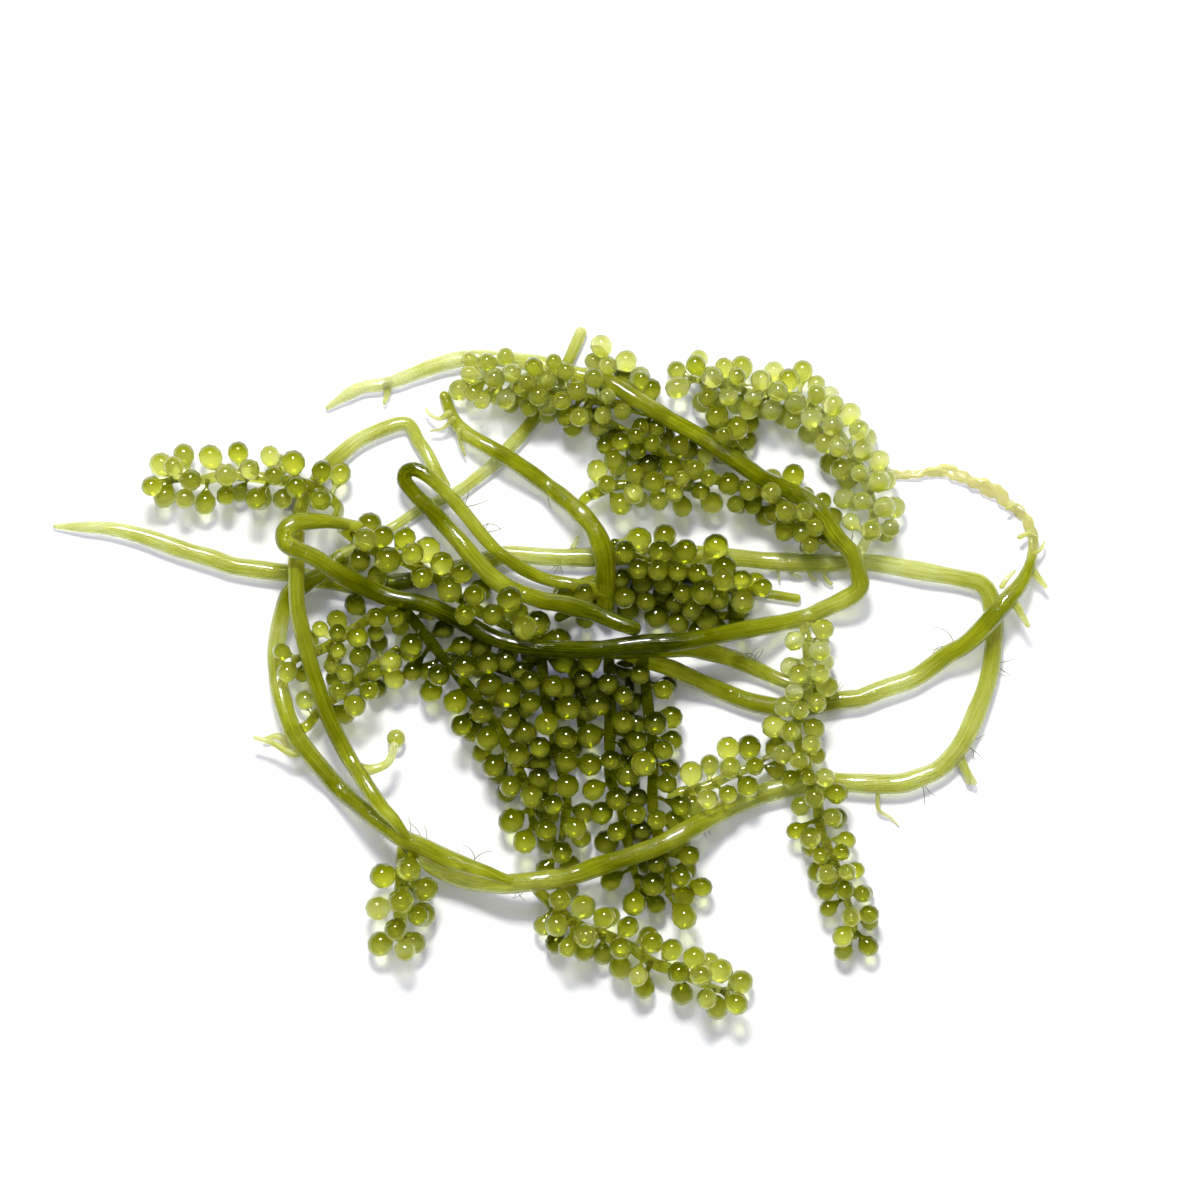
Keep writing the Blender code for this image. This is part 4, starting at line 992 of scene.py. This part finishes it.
def frond_surfaces(strand, path, radii, tones, seed):
    """The stem and the berries of a frond, each with its tone at its share of the stem."""
    stem = strand_surface(path, radii, seed, sides=12, rough=0.09)
    stem["tone"] = np.clip(np.interp(stem["share"], (0, 0.5, 1), tones) + 0.08 - 0.2 * stem["share"], 0, 1)
    rows = berries[strand["name"]]
    apart = np.linalg.norm(rows[:, None, :2] - strand["path"][None, :, :2], axis=2)
    share = strand["along"][apart.argmin(axis=1)] / strand["along"][-1]
    scale = LARGER.get(strand["name"], BERRY_SCALE)
    return [stem, berry_surface(rows, np.interp(share, (0, 0.5, 1), tones), 300 + seed, scale)]


def dress_frond(number, strand):
    """The frond as one piece in place of its solid; gives the number of faces."""
    tones = FROND_TONES.get(strand["name"], FROND_TONE)
    if "heart" in strand["name"]:
        path, radii = finer(carried_on(strand, UNDER[strand["name"]]))
    elif strand["name"] in FROM_BEHIND:
        path, radii = (values[FROM_BEHIND[strand["name"]] :] for values in finer(strand))
    else:
        path, radii = grown_on(*finer(strand), strand["name"], JOIN_REACH)
    piece = make_piece(
        strand["name"] + "_flesh", frond_surfaces(strand, path, radii, tones, number + 1), [berry_flesh]
    )
    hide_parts(strand["name"])
    return len(piece.data.polygons)


faces = [dress_frond(i, s) for i, s in enumerate(strands) if s["berry"]]
print("frond faces:", faces)

# %% [markdown]
# Short fronds lie under the others, where the tangle is deepest. Little more than
# their berries shows, so they have no solids.

# %% Dress the low fronds
low_surfaces = []
for number, strand in enumerate(low_fronds):
    tones = FROND_TONES.get(strand["name"], LOW_TONE)
    low_surfaces += frond_surfaces(strand, *finer(strand), tones, 40 + number)
    print(strand["name"], "berries:", len(berries[strand["name"]]))
low = make_piece("low_fronds_flesh", low_surfaces, [berry_flesh])
print("low faces:", len(low.data.polygons))


# %% [markdown]
# ## Rootlets and small shoots
#
# A runner holds on to the sand with tufts of fine, colourless rootlets, and it has
# buds. They give the tangle its wild look, and are far too thin for the solids.

# %% Rootlets
# Tufts: place, heading in degrees, length in mm, number of rootlets
TUFTS = (
    (41.5, -12.6, -80, 1.4, 3), (46.6, -8.4, -10, 1.6, 3), (49.0, 0.4, 10, 1.5, 4),
    (-3.0, -24.6, -90, 1.7, 4), (-8.2, -20.6, 80, 2.4, 2), (-18.8, -19.0, 200, 1.2, 3),
    (-15.5, -18.4, 90, 1.8, 3), (-13.9, -19.4, 90, 1.8, 2), (-9.6, 17.6, 20, 1.8, 3),
    (-7.9, 15.4, 20, 1.6, 3), (21.8, 1.2, 80, 1.3, 4), (30.5, -2.6, 85, 2.4, 4),
    (-5.2, -11.5, 190, 2.0, 3), (-24.6, 5.2, 150, 1.2, 2), (0.8, 15.3, 240, 1.2, 3),
    (-1.2, 18.6, 230, 1.2, 2), (17.5, -17.0, -60, 1.4, 2), (33.0, 14.2, 30, 1.2, 2),
    (8.0, -19.9, -80, 1.3, 2), (44.0, 2.6, 115, 2.6, 3),
)
ROOTLET = 0.055  # radius in mm
INSIDE = 0.8  # length in mm that lies in the runner's flesh
THREAD_SIDES = 4
THREAD_STEPS = 8


def axis_near(x, y):
    """The nearest point of a runner's axis to a place seen from above."""
    runners = np.vstack([s["path"] for s in strands if not s["berry"]])
    return runners[np.linalg.norm(runners[:, :2] - (x, y), axis=1).argmin()]


def thread_surface(path, wide, narrow, seed):
    """A thin tube of a few sides, narrowing along a path, closed at both ends."""
    radii = np.linspace(wide, narrow, len(path))
    tangent, side, up = frames_along(path)
    angle = np.linspace(0, 2 * np.pi, THREAD_SIDES, endpoint=False)
    ring = np.cos(angle)[:, None] * side[:, None] + np.sin(angle)[:, None] * up[:, None]
    points = (path[:, None] + radii[:, None, None] * ring).reshape(-1, 3)
    points = np.vstack([points, path[0], path[-1]])
    points[:, 2] = np.maximum(points[:, 2], TABLE)
    return {"points": points, "faces": tube_faces(len(path), THREAD_SIDES), "grain": points + seed,
            "tone": np.full(len(points), 0.5)}


def rootlet(draw, x, y, heading, length):
    """A curved thread that sets off from the runner's side and sinks as it goes."""
    start = axis_near(x, y)
    turn = math.radians(heading) + draw.normal(0, 0.45)
    length = INSIDE + length * draw.uniform(0.5, 1.15)
    steps = np.linspace(0, 1, THREAD_STEPS + 1)
    curl = draw.normal(0, 1.1)
    angles = turn + curl * steps
    ahead = np.column_stack([np.cos(angles), np.sin(angles)]) * length / THREAD_STEPS
    flat = start[:2] + draw.normal(0, 0.25, 2) + np.cumsum(ahead, axis=0)
    sink = start[2] * (1 - 0.55 * steps**1.3) + draw.normal(0, 0.1)
    return np.column_stack([flat, np.maximum(sink, 2 * ROOTLET)])


draw = np.random.default_rng(9)
threads = [
    thread_surface(rootlet(draw, x, y, heading, length), ROOTLET, 0.4 * ROOTLET, k)
    for x, y, heading, length, count in TUFTS
    for k in range(count)
]
rootlets = make_piece("rootlets", threads, [rootlet_hair])
print("rootlets:", len(threads))

# %% [markdown]
# Frayed bits of pale flesh hang on where shoots have broken off, and two lost berries
# lie among the strands: a pale one on its shoot, and one with no green left.

# %% Frayed bits and lost berries
# Routes seen from above, with the height of each point, then both diameters
FRAYS = (
    (((-11.0, 28.2, 1.9), (-12.2, 27.6, 1.7), (-13.2, 28.1, 1.4), (-13.6, 28.6, 1.2)), 0.8, 0.3),
    (((-10.6, 27.6, 1.9), (-11.8, 26.6, 1.5), (-13.1, 26.3, 1.2)), 0.7, 0.25),
    (((-9.9, 26.4, 1.9), (-9.8, 25.0, 1.4), (-9.3, 23.6, 1.1)), 0.7, 0.25),
    (((24.4, 11.8, 1.2), (25.0, 10.9, 0.9), (25.2, 9.9, 0.6)), 0.8, 0.4),
    (((26.2, 11.6, 1.2), (26.6, 10.6, 0.8), (27.5, 10.2, 0.5)), 0.8, 0.4),
    (((28.4, 11.4, 1.2), (28.6, 10.4, 0.9), (29.2, 9.9, 0.6)), 0.7, 0.35),
    (((30.4, 11.2, 1.2), (30.2, 10.2, 0.8), (30.9, 9.5, 0.5)), 0.8, 0.4),
    (((49.6, 9.2, 1.6), (50.1, 10.0, 1.5), (51.0, 10.9, 1.3)), 0.6, 0.3),
    (((51.6, 14.6, 1.5), (52.6, 15.0, 1.2), (53.6, 14.6, 1.0)), 0.6, 0.2),
    (((53.2, 12.8, 1.5), (54.0, 13.4, 1.3), (54.3, 14.1, 1.0)), 0.6, 0.2),
    (((50.2, 17.8, 1.4), (51.3, 18.2, 1.3), (52.2, 17.6, 1.0)), 0.5, 0.2),
    (((36.0, -13.4, 1.0), (36.1, -15.3, 0.8), (37.4, -16.2, 0.4), (38.4, -17.2, 0.2)), 0.7, 0.12),
    (((44.8, -9.6, 1.0), (45.4, -10.6, 0.9), (46.0, -12.2, 0.8)), 1.3, 0.8),
    (((-31.4, -7.6, 0.7), (-29.9, -7.3, 0.7), (-28.6, -8.2, 0.7)), 0.5, 0.9),
)
LOST = ((-16.9, -7.5, 1.1, 1.05, 0.25), (-28.6, 18.4, 1.1, 1.0, -1.0))  # x, y, z, radius, tone


def ball_surface(x, y, z, radius, tone, seed):
    """A closed ball of rings: radius sin b round, radius cos b up."""
    turns = np.linspace(0, np.pi, 11)[1:-1]
    angle = np.linspace(0, 2 * np.pi, 16, endpoint=False)
    ring = np.stack([
        np.sin(turns)[:, None] * np.cos(angle), np.sin(turns)[:, None] * np.sin(angle),
        np.broadcast_to(-np.cos(turns)[:, None], (len(turns), len(angle))),
    ], axis=-1).reshape(-1, 3)
    unit = np.vstack([ring, [[0, 0, -1], [0, 0, 1]]])
    # The glow is painted light: a bright patch on the side away from the lamp, only on a berry that still has
    # green
    return {"points": unit * radius + (x, y, z), "faces": tube_faces(len(turns), len(angle)),
            "grain": unit * radius + seed, "tone": np.full(len(unit), max(tone, 0.0)),
            "painted_glow": np.clip((unit @ PAINTED_GLOW_SIDE - 0.5) / 0.4, 0, 1) * (tone > 0)}


bits = []
for k, (route, wide, narrow) in enumerate(FRAYS):
    path = smooth_route(route, 0.15)
    radii = 0.5 * np.linspace(wide, narrow, len(path))
    bit = strand_surface(path, radii, 80 + k, sides=8, rough=0.35, rib=0.08)
    bit["tone"] = np.clip(0.22 - 0.3 * bit["share"], 0, 1)
    bit["dry"] = np.full(len(bit["points"]), 0.25)
    bits.append(bit)
lost_berry, empty_berry = [ball_surface(*row, 30 + k) for k, row in enumerate(LOST)]
frayed = make_piece("frayed_shoots", bits + [lost_berry], [runner_flesh])
husk = make_piece("empty_berry", [empty_berry], [clear_flesh])
print("frayed bits:", len(bits))


# %% [markdown]
# ## Surface, light and camera
#
# The tangle lies on a plain white surface. One lamp stands towards the top of the
# picture, about 50 degrees above the surface, and mirrors near the top of each berry.
# A bright white sky makes the shadows soft and pale.

# %% Surface and light
FLOOR_HALF = 0.6
floor_mesh = bpy.data.meshes.new("white_surface")
corners = [(-FLOOR_HALF, -FLOOR_HALF, 0), (FLOOR_HALF, -FLOOR_HALF, 0),
           (FLOOR_HALF, FLOOR_HALF, 0), (-FLOOR_HALF, FLOOR_HALF, 0)]
floor_mesh.from_pydata(corners, [], [(0, 1, 2, 3)])
floor = bpy.data.objects.new("white_surface", floor_mesh)
bpy.context.scene.collection.objects.link(floor)
white = new_material("matt_white_board")
board = add_node(white, "BsdfPrincipled", Base_Color=(0.9, 0.9, 0.9, 1), Roughness=0.7)
add_node(white, "OutputMaterial", [("Surface", board.outputs[0])])
floor_mesh.materials.append(white)

LAMP_DISTANCE = 0.6


def hang_lamp(name, wide, deep, power):
    """A rectangular lamp that faces the middle of the tangle; sizes in metres."""
    data = bpy.data.lights.new(name, "AREA")
    data.shape = "RECTANGLE"
    data.size, data.size_y = wide, deep
    data.energy = power
    lamp = bpy.data.objects.new(name, data)
    lamp.location = Vector(TO_LIGHT) * LAMP_DISTANCE
    lamp.rotation_euler = Vector(TO_LIGHT).to_track_quat("Z", "Y").to_euler()
    bpy.context.scene.collection.objects.link(lamp)


hang_lamp("soft_lamp", wide=0.16, deep=0.1, power=4.4)

# Strength of the sky against height: bright low down, dark overhead, where the camera is
SKY = ((0.0, 0.7), (0.45, 0.72), (0.8, 0.48), (1.0, 0.32))
world = bpy.data.worlds.new("white_sky")
world.use_nodes = True
direction = add_node(world, "TexCoord").outputs["Generated"]
height = add_node(world, "SeparateXYZ", [("Vector", direction)]).outputs["Z"]
sky = ramp(world, height, [(place, (level, level, level, 1)) for place, level in SKY])
background = world.node_tree.nodes["Background"]
world.node_tree.links.new(sky, background.inputs["Color"])
background.inputs["Strength"].default_value = 1.0
bpy.context.scene.world = world
world.cycles_visibility.glossy = False  # the room was dark: only the lamp mirrors in the flesh

# %% [markdown]
# The camera looks straight down from far off, so that nothing looks bent. The picture
# is 132 mm wide at the surface.

# %% Camera
PIXEL_MM = 0.11
PICTURE_PX = 1200
ORIGIN_PX = (550, 670)  # the pixel of the photograph above the origin
CAMERA_HEIGHT = 800
SENSOR_MM = 36
picture_mm = PICTURE_PX * PIXEL_MM
camera_data = bpy.data.cameras.new("camera")
camera_data.sensor_width = SENSOR_MM
camera_data.lens = SENSOR_MM * CAMERA_HEIGHT / picture_mm
camera = bpy.data.objects.new("camera", camera_data)
middle_x = (PICTURE_PX / 2 - ORIGIN_PX[0]) * PIXEL_MM
middle_y = (ORIGIN_PX[1] - PICTURE_PX / 2) * PIXEL_MM
camera.location = (middle_x * MM, middle_y * MM, CAMERA_HEIGHT * MM)
bpy.context.scene.collection.objects.link(camera)
bpy.context.scene.camera = camera
bpy.context.scene.view_settings.view_transform = "Standard"
